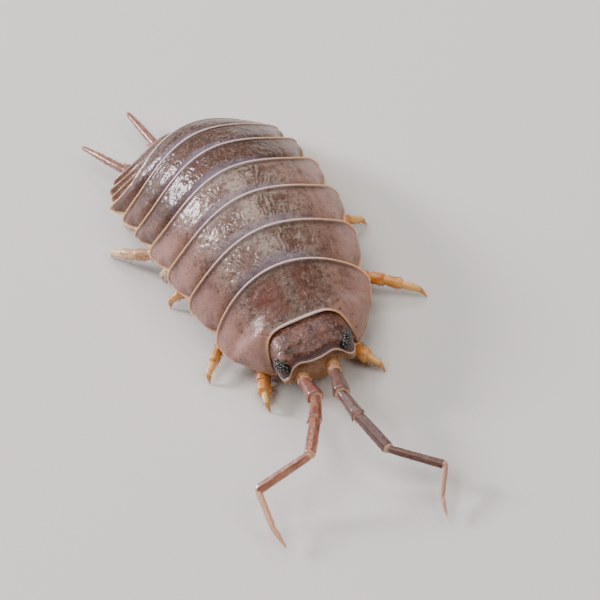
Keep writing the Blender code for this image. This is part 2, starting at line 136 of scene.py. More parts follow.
@dataclass(frozen=True)
class Grain:
    """Smooth random values in space, the same on every run."""

    seed: int
    cells: int = 48

    def at(self, points: Array) -> Array:
        """Sample the grain.

        Args:
            points: places, three numbers each, in units of one grain cell.

        Returns:
            One value for each place, from -1 to 1.
        """
        lattice = np.random.default_rng(self.seed).uniform(-1, 1, (self.cells,) * 3)
        base = np.floor(points).astype(int)
        part = points - base
        part = part * part * (3 - 2 * part)
        total = np.zeros(len(points))
        for corner in np.ndindex(2, 2, 2):
            weight = np.ones(len(points))
            for axis, step in enumerate(corner):
                weight = weight * (part[:, axis] if step else 1 - part[:, axis])
            keys = (base + np.array(corner)) % self.cells
            total = total + weight * lattice[keys[:, 0], keys[:, 1], keys[:, 2]]
        return total

    def layered(self, points: Array, octaves: int = 3) -> Array:
        """Several layers of grain, each half as coarse and half as strong as the last."""
        layers = [self.at(points * 2**k + 7.3 * k) / 2**k for k in range(octaves)]
        return sum(layers) / (2 - 2 ** (1 - octaves))


@dataclass(frozen=True)
class Ring:
    """The hind edge of one ring of the body."""

    name: str
    place: float
    half_width: float
    height: float
    sweep: float
    sweep_power: float
    slope: float
    turn: float
    twist: float


RINGS = (
    Ring("head_notch", -7.50, 1.68, 2.02, -0.72, 4.0, 6.0, 10.0, 0.0),
    Ring("thorax_plate_1", -4.95, 3.20, 2.61, -0.30, 4.0, 10.7, 7.7, 0.0),
    Ring("thorax_plate_2", -3.25, 3.63, 2.75, 0.30, 4.0, 7.7, 5.0, 0.0),
    Ring("thorax_plate_3", -1.55, 3.78, 2.81, 0.60, 4.0, 4.1, 2.4, 0.0),
    Ring("thorax_plate_4", 0.00, 3.80, 2.77, 0.95, 4.0, 0.0, 0.0, 0.0),
    Ring("thorax_plate_5", 1.48, 3.74, 2.66, 1.05, 4.0, -4.6, -2.2, 0.0),
    Ring("thorax_plate_6", 2.86, 3.64, 2.50, 1.15, 3.6, -9.9, -4.2, 1.5),
    Ring("thorax_plate_7", 4.02, 3.50, 2.25, 1.42, 6.0, -15.5, -8.5, 6.0),
    Ring("abdomen_plate_1", 4.56, 2.50, 1.50, 0.60, 2.4, -13.0, -17.0, 7.0),
    Ring("abdomen_plate_2", 5.05, 2.40, 1.32, 0.70, 2.4, -10.0, -22.0, 7.5),
    Ring("abdomen_plate_3", 5.56, 2.68, 1.18, 1.45, 2.6, -7.0, -25.0, 8.0),
    Ring("abdomen_plate_4", 6.06, 2.34, 1.06, 1.45, 2.6, -5.0, -27.0, 8.0),
    Ring("abdomen_plate_5", 6.54, 1.86, 0.95, 1.20, 2.6, -4.0, -27.0, 8.0),
)


@dataclass
class BodyForm:
    """The run of the body: where any place on it is in space."""

    rings: tuple[Ring, ...] = RINGS
    dome_power: float = 0.8
    step: float = 0.02
    reach: float = 10.0
    places: Array = field(init=False)
    table: dict[str, Array] = field(init=False)

    def __post_init__(self) -> None:
        """Work out the line midway between the side edges, and the directions along it."""
        count = int(self.reach / self.step)
        self.places = np.arange(-count, count + 1) * self.step
        turn = np.radians(self.ring_value("turn", self.places))
        slope = np.radians(self.ring_value("slope", self.places))
        twist = np.radians(self.ring_value("twist", self.places))[:, None]
        zero = np.zeros_like(turn)
        side = np.stack([np.cos(turn), -np.sin(turn), zero], -1)
        back = np.stack(
            [np.sin(turn) * np.cos(slope), np.cos(turn) * np.cos(slope), np.sin(slope)], -1
        )
        up = np.cross(side, back)
        side, up = (
            side * np.cos(twist) - up * np.sin(twist),
            up * np.cos(twist) + side * np.sin(twist),
        )
        steps = 0.5 * (back[1:] + back[:-1]) * self.step
        middle = np.vstack([np.zeros(3), np.cumsum(steps, axis=0)])
        middle = middle - middle[count] + np.array([0.0, 0.0, EDGE_HEIGHT])
        self.table = {"side": side, "up": up, "back": back, "middle": middle}

    def ring_value(self, column: str, places: Array) -> Array:
        """A ring value at any place along the body, by a cubic through the rings.

        Args:
            column: the name of the ring's value.
            places: places along the body.

        Returns:
            The value at each place.
        """
        knots = [ring.place for ring in self.rings]
        return through(knots, [getattr(ring, column) for ring in self.rings], places)

    def direction(self, name: str, places: Array) -> Array:
        """One of the body's directions, or its middle, at places along it."""
        source = self.table[name]
        parts = [np.interp(places, self.places, source[:, k]) for k in range(3)]
        return np.stack(parts, -1)

    def point(self, place: Array, out: Array, up: Array, back: Array = 0.0) -> Array:
        """Points in space from places on the body.

        Args:
            place: the place along the body.
            out: how far to the animal's left.
            up: how far up.
            back: how far towards the tail.

        Returns:
            The points, three numbers each.
        """
        place, out, up, back = np.broadcast_arrays(place, out, up, back)
        return (
            self.direction("middle", place)
            + self.direction("side", place) * out[..., None]
            + self.direction("up", place) * up[..., None]
            + self.direction("back", place) * back[..., None]
        )

    def dome(self, share: Array) -> Array:
        """The height of the shell's cross-section at shares of the half width."""
        angle = 0.5 * math.pi * np.clip(np.abs(share), 0.0, 1.0)
        return np.maximum(np.cos(angle), 0.0) ** self.dome_power


BODY = BodyForm()


def to_metres(points: Array) -> list:
    """Points of the body, moved to its place on the floor and turned into metres."""
    return ((np.asarray(points) + np.array([*MIDDLE_PLACE, 0.0])) * MM).tolist()


def link_new(name: str, data: ID) -> Object:
    """A new object at the origin, linked to the scene."""
    made = bpy.data.objects.new(name, data)
    bpy.context.scene.collection.objects.link(made)
    return made


def make_piece(
    name: str,
    shape: tuple[Array, Sequence[Sequence[int]]],
    finish: Material,
    slot: Slot,
    nodes: Sequence[str] = (),
    values: dict[str, Array] | None = None,
) -> None:
    """A smooth closed piece from points in millimetres, settled on the body.

    Args:
        name: the piece's name.
        shape: its points, and its faces as indices of the points.
        finish: its material.
        slot: the material slot, passed on to settle.
        nodes: the body parts that it stands for.
        values: point attributes by name, one number or three for each point.
    """
    points, faces = shape
    mesh = bpy.data.meshes.new(name)
    mesh.from_pydata(to_metres(points), [], faces)
    for key, data in (values or {}).items():
        data = np.asarray(data, np.float32)
        kind, part = ("FLOAT_VECTOR", "vector") if data.ndim == 2 else ("FLOAT", "value")
        mesh.attributes.new(key, kind, "POINT").data.foreach_set(part, data.ravel())
    mesh.materials.append(finish)
    mesh.shade_smooth()
    mesh.update()
    made = link_new(name, mesh)
    face_outward(made)
    settle(made, slot, *nodes)


def face_outward(piece: Object) -> None:
    """Turn a closed mesh's faces outward.

    Args:
        piece: the object whose mesh is turned.
    """
    work = bmesh.new()
    work.from_mesh(piece.data)
    bmesh.ops.recalc_face_normals(work, faces=work.faces)
    work.to_mesh(piece.data)
    work.free()


def settle(piece: Object, slot: Slot, *nodes: str) -> None:
    """Let a finished piece ride with the body and stand for its nodes.

    Args:
        piece: the finished piece.
        slot: not used.
        nodes: the body parts that it stands for.
    """
    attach(piece, "root")
    if nodes:
        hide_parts(*nodes)
    LOG.info("%s: %d faces", piece.name, len(piece.data.polygons))


def grid_faces(rows: int, columns: int, wrap: bool = False) -> list[list[int]]:
    """Quads between the points of a grid, row by row.

    Args:
        rows: the number of rows.
        columns: the number of points in a row.
        wrap: whether each row is a closed loop.

    Returns:
        The quads.
    """
    i, j = np.meshgrid(
        np.arange(rows - 1), np.arange(columns if wrap else columns - 1), indexing="ij"
    )
    after = (j + 1) % columns
    quads = np.stack(
        [i * columns + j, i * columns + after, (i + 1) * columns + after, (i + 1) * columns + j],
        -1,
    )
    return quads.reshape(-1, 4).tolist()


def grid_normals(grid: Array) -> Array:
    """Unit normals of a grid of points.

    Args:
        grid: rows by columns by three numbers.

    Returns:
        The normals, towards the columns' direction crossed with the rows'.
    """
    along = np.gradient(grid, axis=0)
    across = np.gradient(grid, axis=1)
    normal = np.cross(across, along)
    length = np.linalg.norm(normal, axis=-1, keepdims=True)
    return normal / np.maximum(length, 1e-9)


def closed_tube(rings: Array) -> tuple[Array, list[list[int]]]:
    """A closed tube through rings of points, with a pole in the middle of each end.

    Args:
        rings: rings by points by three numbers.

    Returns:
        The points and the faces.
    """
    rows, columns = rings.shape[:2]
    points = np.vstack([rings.reshape(-1, 3), rings[0].mean(axis=0), rings[-1].mean(axis=0)])
    faces = grid_faces(rows, columns, wrap=True)
    low, high = rows * columns, rows * columns + 1
    last = (rows - 1) * columns
    for j in range(columns):
        after = (j + 1) % columns
        faces.append([low, after, j])
        faces.append([high, last + j, last + after])
    return points, faces


def closed_tubes(tubes: Sequence[Array]) -> tuple[Array, list[list[int]]]:
    """Several closed tubes as the points and faces of one mesh.

    Args:
        tubes: each tube's rings.

    Returns:
        The points and the faces.
    """
    points, faces, count = [], [], 0
    for rings in tubes:
        new_points, new_faces = closed_tube(rings)
        points.append(new_points)
        faces += [[corner + count for corner in face] for face in new_faces]
        count += len(new_points)
    return np.vstack(points), faces


class Nodes:
    """A short way to write a node tree for a material or a geometry group."""

    def __init__(self, tree: NodeTree) -> None:
        """Keep the tree and start it empty."""
        self.tree = tree
        tree.nodes.clear()

    def add(self, kind: str, sockets: dict | None = None, **settings: object) -> Node:
        """Add a node.

        Args:
            kind: the node's type.
            sockets: input values or links by socket name or number.
            settings: the node's own properties.

        Returns:
            The node.
        """
        node = self.tree.nodes.new(kind)
        for key, value in settings.items():
            setattr(node, key, value)
        for key, value in (sockets or {}).items():
            if isinstance(value, NodeSocket):
                self.tree.links.new(value, node.inputs[key])
            else:
                node.inputs[key].default_value = value
        return node

    def math(self, operation: str, *values: object, clamp: bool = False) -> NodeSocket:
        """A maths node's result."""
        sockets = dict(enumerate(values))
        node = self.add("ShaderNodeMath", sockets, operation=operation, use_clamp=clamp)
        return node.outputs[0]

    def times(self, *values: object, clamp: bool = False) -> NodeSocket:
        """The product of two values."""
        return self.math("MULTIPLY", *values, clamp=clamp)

    def plus(self, *values: object, clamp: bool = False) -> NodeSocket:
        """The sum of two values."""
        return self.math("ADD", *values, clamp=clamp)

    def minus(self, *values: object) -> NodeSocket:
        """The first value less the second."""
        return self.math("SUBTRACT", *values)

    def step(self, value: object, low: float, high: float) -> NodeSocket:
        """A smooth step of a value from 0 at low to 1 at high.

        Args:
            value: the value's socket.
            low: where the step starts.
            high: where it ends.

        Returns:
            The stepped value's socket.
        """
        node = self.add(
            "ShaderNodeMapRange",
            {"Value": value, "From Min": low, "From Max": high},
            interpolation_type="SMOOTHSTEP",
        )
        return node.outputs["Result"]

    def mix(self, share: object, first: object, second: object) -> object:
        """A mix of two colours.

        Args:
            share: how much of the second colour there is, from 0 to 1.
            first: the first colour, as three numbers or a socket.
            second: the second.

        Returns:
            The mixed colour's socket.
        """
        node = self.add("ShaderNodeMix", data_type="RGBA")
        for number, value in ((0, share), (6, first), (7, second)):
            if isinstance(value, NodeSocket):
                self.tree.links.new(value, node.inputs[number])
            elif number == 0:
                node.inputs[0].default_value = value
            else:
                node.inputs[number].default_value = (*value, 1.0)
        return node.outputs[2]

    def layered(self, colour: object, *layers: tuple[object, object]) -> object:
        """A colour with others laid over it in turn.

        Args:
            colour: the lowest colour.
            layers: how much of each next colour there is, and the colour.

        Returns:
            The colour's socket.
        """
        for share, over in layers:
            colour = self.mix(share, colour, over)
        return colour

    def value(self, name: str) -> NodeSocket:
        """The number in one of the mesh's point attributes."""
        return self.add("ShaderNodeAttribute", attribute_name=name).outputs["Fac"]

    def vector(self, name: str) -> NodeSocket:
        """The vector in one of the mesh's point attributes."""
        return self.add("ShaderNodeAttribute", attribute_name=name).outputs["Vector"]

    def place(self) -> NodeSocket:
        """The place on the object."""
        return self.add("ShaderNodeTexCoord").outputs["Object"]

    def stretched(self, vector: object, scale: Sequence[float]) -> NodeSocket:
        """A place stretched along its axes."""
        node = self.add("ShaderNodeMapping", {"Vector": vector})
        node.inputs["Scale"].default_value = scale
        return node.outputs["Vector"]

    def noise(
        self, vector: object, scale: float, detail: float = 3.0, rough: float = 0.55
    ) -> NodeSocket:
        """Cloudy noise from 0 to 1."""
        sockets = {"Vector": vector, "Scale": scale, "Detail": detail, "Roughness": rough}
        return self.add("ShaderNodeTexNoise", sockets).outputs["Fac"]

    def cells(self, vector: object, scale: float) -> NodeSocket:
        """The distance to the nearest of many scattered points."""
        sockets = {"Vector": vector, "Scale": scale}
        return self.add("ShaderNodeTexVoronoi", sockets).outputs["Distance"]

    def relief(
        self, height: object, depth: float, strength: float = 1.0, under: object = None
    ) -> NodeSocket:
        """A bumped normal.

        Args:
            height: the height's socket, from 0 to 1.
            depth: how deep it is in metres.
            strength: how much of it shows.
            under: the normal that it is laid on, or none for the mesh's own.

        Returns:
            The normal's socket.
        """
        sockets = {"Height": height, "Distance": depth, "Strength": strength}
        if under is not None:
            sockets["Normal"] = under
        return self.add("ShaderNodeBump", sockets).outputs["Normal"]


@dataclass(frozen=True)
class Gloss:
    """How a surface shines: one number each, the same all over it."""

    roughness: float
    coat: float = 0.0
    coat_roughness: float = 0.1
    coat_ior: float = 1.5
    ior: float = 1.5
    specular: float = 0.5
    flesh: float = 0.0
    flesh_reach: float = 0.0003
    flesh_colour: Colour = (1.0, 0.55, 0.4)


class Finish:
    """A surface's finish: its gloss, and the nodes that a subclass paints."""

    name: str
    gloss: Gloss

    def paint(self, nodes: Nodes) -> dict[str, object]:
        """Make the linked sockets, by the shader's socket name."""
        raise NotImplementedError

    def material(self) -> Material:
        """Make the finish's material.

        Returns:
            The material.
        """
        made = bpy.data.materials.new(self.name)
        made.use_nodes = True
        nodes = Nodes(made.node_tree)
        gloss = self.gloss
        shader = nodes.add(
            "ShaderNodeBsdfPrincipled",
            {
                "Roughness": gloss.roughness,
                "IOR": gloss.ior,
                "Specular IOR Level": gloss.specular,
                "Coat Weight": gloss.coat,
                "Coat Roughness": gloss.coat_roughness,
                "Coat IOR": gloss.coat_ior,
                "Subsurface Weight": gloss.flesh,
                "Subsurface Scale": gloss.flesh_reach,
                "Subsurface Radius": gloss.flesh_colour,
            },
        )
        for socket, link in self.paint(nodes).items():
            nodes.tree.links.new(link, shader.inputs[socket])
        output = nodes.add("ShaderNodeOutputMaterial")
        nodes.tree.links.new(shader.outputs["BSDF"], output.inputs["Surface"])
        return made


@dataclass(frozen=True)
class ShellFinish(Finish):
    """Glossy shell: olive grey with red-brown muscle marks, mauve flaps and pale rims."""

    name: str = "shell_finish"
    # light middle tone: on plates two to four, which take little tail tint, its lightness stands
    # partly for a painted sheen
    middle: Colour = (0.305, 0.228, 0.186)
    flank: Colour = (0.250, 0.130, 0.100)
    # dark tone of random dusky clouds and grains, and the painted shade in the grooves behind the
    # rims
    dusk: Colour = (0.058, 0.027, 0.021)
    mark: Colour = (0.100, 0.048, 0.034)
    ruddy: Colour = (0.108, 0.034, 0.019)
    # painted reflection: the bluish sheen laid in a band near the midline, behind each covered
    # plate front
    band: Colour = (0.170, 0.140, 0.205)
    flap: Colour = (0.370, 0.205, 0.170)
    rim: Colour = (0.860, 0.660, 0.640)
    edge: Colour = (0.820, 0.470, 0.220)
    speck: Colour = (0.012, 0.007, 0.006)
    # painted highlight: the pale tint of the painted glints, as specks and on the striae crests
    glint_tint: Colour = (0.520, 0.400, 0.330)
    tail_tint: Colour = (0.064, 0.027, 0.015)
    cloud_scale: float = 1300.0
    fine_scale: float = 5200.0
    grit_scale: float = 13000.0
    rolling_scale: float = 3000.0
    ripple_scale: float = 5000.0
    pore_scale: float = 3600.0
    dimple_scale: float = 10500.0
    rolling_depth: float = 0.00006
    ripple_depth: float = 0.000014
    grit_depth: float = 0.000028
    dimple_depth: float = 0.000012
    gloss: Gloss = Gloss(
        0.50, coat=0.90, coat_roughness=0.21, coat_ior=1.32, specular=0.15, flesh=0.02
    )

    def colour(self, nodes: Nodes, place: object, grit: object) -> object:
        """Mix the shell's colours.

        Args:
            nodes: the material's node tree.
            place: the place on the object.
            grit: the finest noise.

        Returns:
            The colour's socket.
        """
        across, flow = nodes.value("across"), nodes.vector("flow")
        tail, mark, ruddy = nodes.value("tail"), nodes.value("mark"), nodes.value("ruddy")
        groove_shade, streak = nodes.value("groove_shade"), nodes.value("streak")
        cloud = nodes.noise(place, self.cloud_scale, 5.0, 0.6)
        fine = nodes.noise(place, self.fine_scale, 4.0, 0.6)
        tails = nodes.times(nodes.times(tail, nodes.plus(0.55, fine)), 0.9, clamp=True)
        dusky = nodes.times(nodes.step(cloud, 0.44, 0.74), 0.60)
        paler = nodes.minus(1.0, nodes.times(tail, 0.45))
        flaps = nodes.times(nodes.times(nodes.step(across, 0.68, 0.90), 0.75), paler)
        flaps = nodes.times(flaps, nodes.minus(1.2, cloud))
        sparse = nodes.noise(nodes.stretched(flow, (3.0, 2.0, 1.0)), 1.0, 4.0, 0.65)
        patches = nodes.times(mark, nodes.step(sparse, 0.26, 0.46))
        # real muscle-mark stain, laid mostly in the striae valleys, where it is also painted shade
        valley_shade = nodes.minus(1.05, nodes.times(streak, 0.8))
        stain_and_shade = nodes.times(nodes.times(patches, valley_shade), 0.85, clamp=True)
        # painted glints on the crests of the muscle-mark striae
        crest_glints = nodes.times(nodes.times(mark, streak), nodes.step(grit, 0.40, 0.70))
        smooth = nodes.minus(1.0, nodes.times(nodes.step(across, 0.5, 0.8), 0.75))
        plain = nodes.minus(1.0, nodes.times(nodes.times(mark, ruddy, clamp=True), 0.85))
        # painted glints: pale specks from the finest noise, fewer on the red patch
        glint_specks = nodes.times(nodes.times(nodes.step(grit, 0.57, 0.70), 0.45), plain)
        grains = nodes.times(nodes.step(fine, 0.50, 0.66), 0.72)
        pores = nodes.minus(1.0, nodes.step(nodes.cells(place, self.pore_scale), 0.09, 0.15))
        chance = nodes.plus(nodes.step(cloud, 0.45, 0.57), groove_shade, clamp=True)
        worn = nodes.plus(0.70, nodes.times(fine, 0.5))
        rims = nodes.times(nodes.value("rim"), worn, clamp=True)
        return nodes.layered(
            nodes.mix(nodes.step(across, 0.35, 0.72), self.middle, self.flank),
            (tails, self.tail_tint),
            (dusky, self.dusk),
            (flaps, self.flap),
            # muscle-mark stain, with painted shade in the striae valleys
            (stain_and_shade, nodes.mix(ruddy, self.mark, self.ruddy)),
            # painted glints: on the striae crests, and as specks that are fewer on the smooth
            # flanks
            (nodes.times(crest_glints, 0.30), self.glint_tint),
            (nodes.times(glint_specks, smooth), self.glint_tint),
            (nodes.times(grains, smooth), self.dusk),
            # painted shade in the groove just in front of each hind rim
            (nodes.times(groove_shade, 0.78), self.dusk),
            # painted reflection: the bluish sheen band
            (nodes.times(nodes.value("band"), 0.60), self.band),
            (nodes.times(pores, chance), self.speck),
            (rims, nodes.mix(nodes.step(across, 0.35, 0.85), self.rim, self.edge)),
            (nodes.value("edge"), self.edge),
        )

    def paint(self, nodes: Nodes) -> dict[str, object]:
        """Mix the shell's colours, gloss and relief.

        Args:
            nodes: the material's node tree.

        Returns:
            The linked sockets by name.
        """
        place = nodes.place()
        grit = nodes.noise(place, self.grit_scale, 2.0)
        rough = nodes.plus(0.38, nodes.times(grit, 0.36))
        rolling = nodes.noise(place, self.rolling_scale, 3.0, 0.5)
        flank = nodes.step(nodes.value("across"), 0.45, 0.75)
        calm = nodes.minus(1.0, nodes.times(flank, 0.7))
        first = nodes.relief(nodes.times(rolling, calm), self.rolling_depth, 0.8)
        second = nodes.relief(grit, self.grit_depth, 0.9, first)
        dimples = nodes.cells(place, self.dimple_scale)
        third = nodes.relief(dimples, self.dimple_depth, 0.5, second)
        ripples = nodes.noise(place, self.ripple_scale, 1.0, 0.5)
        crisp = nodes.relief(ripples, self.ripple_depth, 0.8, first)
        return {
            "Base Color": self.colour(nodes, place, grit),
            "Roughness": rough,
            "Normal": third,
            "Coat Normal": crisp,
        }


@dataclass(frozen=True)
class HeadFinish(Finish):
    """Dark brown granular head with a pale rim, and a tan face under it."""

    name: str = "head_finish"
    crown: Colour = (0.145, 0.052, 0.030)
    dark: Colour = (0.052, 0.016, 0.010)
    # painted highlight: the pale tint of the painted glint specks on the crown
    glint_tint: Colour = (0.420, 0.280, 0.225)
    face: Colour = (0.330, 0.150, 0.060)
    shade: Colour = (0.120, 0.055, 0.030)
    rim: Colour = (0.420, 0.300, 0.250)
    band: Colour = (0.100, 0.060, 0.065)
    cloud_scale: float = 2200.0
    fine_scale: float = 6500.0
    grit_scale: float = 13000.0
    fine_depth: float = 0.00003
    grit_depth: float = 0.000020
    gloss: Gloss = Gloss(0.46, coat=0.15, coat_roughness=0.14, specular=0.35, flesh=0.04)

    def paint(self, nodes: Nodes) -> dict[str, object]:
        """Mix the head's colours and relief.

        Args:
            nodes: the material's node tree.

        Returns:
            The linked sockets by name.
        """
        place = nodes.place()
        cloud = nodes.noise(place, self.cloud_scale, 5.0, 0.6)
        fine = nodes.noise(place, self.fine_scale, 4.0, 0.6)
        grit = nodes.noise(place, self.grit_scale, 2.0)
        colour = nodes.layered(
            nodes.mix(nodes.step(cloud, 0.36, 0.62), self.crown, self.dark),
            (nodes.times(nodes.step(fine, 0.50, 0.66), 0.7), self.dark),
            # painted glints as pale specks
            (nodes.times(nodes.step(grit, 0.58, 0.72), 0.5), self.glint_tint),
            (nodes.value("face"), nodes.mix(nodes.step(fine, 0.42, 0.70), self.face, self.shade)),
            (nodes.times(nodes.value("band"), 0.8), self.band),
            (nodes.value("rim"), self.rim),
        )
        rough = nodes.plus(0.26, nodes.times(grit, 0.42))
        first = nodes.relief(fine, self.fine_depth, 0.7)
        second = nodes.relief(grit, self.grit_depth, 0.8, first)
        return {"Base Color": colour, "Roughness": rough, "Normal": second}


@dataclass(frozen=True)
class LimbFinish(Finish):
    """Thin tinted shell of a limb: paler at the joints and on some articles, finely ribbed."""

    name: str
    tone: Colour
    shade: Colour
    pale: Colour
    cloud_scale: float = 2400.0
    fine_scale: float = 8000.0
    dimple_scale: float = 9500.0
    streak_depth: float = 0.00003
    dimple_depth: float = 0.00001
    gloss: Gloss = Gloss(0.40, coat=0.50, coat_roughness=0.14, specular=0.30, flesh=0.15)

    def paint(self, nodes: Nodes) -> dict[str, object]:
        """Mix the limb's colours and relief.

        Args:
            nodes: the material's node tree.

        Returns:
            The linked sockets by name.
        """
        place, flow = nodes.place(), nodes.vector("flow")
        cloud = nodes.noise(place, self.cloud_scale, 4.0)
        fine = nodes.noise(place, self.fine_scale, 3.0)
        streaks = nodes.noise(nodes.stretched(flow, (14.0, 2.2, 1.0)), 1.0, 3.0)
        colour = nodes.layered(
            nodes.mix(nodes.step(streaks, 0.40, 0.60), self.tone, self.shade),
            (nodes.times(nodes.step(cloud, 0.52, 0.78), 0.6), self.pale),
            (nodes.value("dusk"), self.shade),
            (nodes.value("light"), self.pale),
            (nodes.times(nodes.value("joint"), 0.75), self.pale),
        )
        rough = nodes.plus(0.28, nodes.times(fine, 0.30))
        first = nodes.relief(streaks, self.streak_depth, 0.5)
        second = nodes.relief(nodes.cells(place, self.dimple_scale), self.dimple_depth, 0.4, first)
        return {"Base Color": colour, "Roughness": rough, "Normal": second}


@dataclass(frozen=True)
class EyeFinish(Finish):
    """Black facet lenses over a dark eye."""

    name: str = "eye_finish"
    lens: Colour = (0.004, 0.003, 0.004)
    ground: Colour = (0.020, 0.010, 0.008)
    fine_scale: float = 7000.0
    gloss: Gloss = Gloss(0.16, ior=1.46)

    def paint(self, nodes: Nodes) -> dict[str, object]:
        """Mix the eye's colours."""
        fine = nodes.noise(nodes.place(), self.fine_scale, 2.0)
        colour = nodes.mix(nodes.step(fine, 0.45, 0.8), self.lens, self.ground)
        return {"Base Color": colour}


@dataclass(frozen=True)
class BellyFinish(Finish):
    """Soft pale skin under the body, greyer in cloudy patches, finely folded."""

    name: str = "belly_finish"
    skin: Colour = (0.460, 0.370, 0.300)
    shade: Colour = (0.270, 0.205, 0.175)
    cloud_scale: float = 1100.0
    fold_scale: float = 2600.0
    fold_depth: float = 0.00005
    gloss: Gloss = Gloss(0.48, coat=0.2, coat_roughness=0.3, flesh=0.35)

    def paint(self, nodes: Nodes) -> dict[str, object]:
        """Mix the belly's colours and relief.

        Args:
            nodes: the material's node tree.

        Returns:
            The linked sockets by name.
        """
        place = nodes.place()
        cloud = nodes.noise(place, self.cloud_scale, 4.0)
        folds = nodes.noise(nodes.stretched(place, (1.0, 4.0, 1.0)), self.fold_scale, 3.0)
        colour = nodes.mix(nodes.step(cloud, 0.38, 0.70), self.skin, self.shade)
        rough = nodes.plus(0.36, nodes.times(folds, 0.25))
        normal = nodes.relief(folds, self.fold_depth, 0.6)
        return {"Base Color": colour, "Roughness": rough, "Normal": normal}


@dataclass(frozen=True)
class FloorFinish(Finish):
    """Plain pale floor."""

    name: str = "floor_finish"
    tone: Colour = (0.62, 0.61, 0.59)
    tint: float = 0.97
    cloud_scale: float = 60.0
    gloss: Gloss = Gloss(0.85, ior=1.3)

    def paint(self, nodes: Nodes) -> dict[str, object]:
        """Mix the floor's very slight cloud."""
        cloud = nodes.noise(nodes.place(), self.cloud_scale, 2.0)
        tint = tuple(value * self.tint for value in self.tone)
        return {"Base Color": nodes.mix(cloud, self.tone, tint)}


@dataclass(frozen=True)
class PlatePlaces:
    """Where each point of a plate is on it, in millimetres; share is of the half width.

    arc is the length along the arch; hind, side and front are distances from those edges.
    """

    index: int
    share: Array
    arc: Array
    hind: Array
    side: Array
    front: Array

    def flat(self, across: float = 1.0, along: float = 1.0) -> Array:
        """The places laid flat and stretched, as three numbers each, for the plate's grain."""
        third = np.full(self.arc.shape, 5.7 * self.index)
        places = np.stack([self.arc * across + 20.0, self.hind * along + 20.0, third], -1)
        return places.reshape(-1, 3)


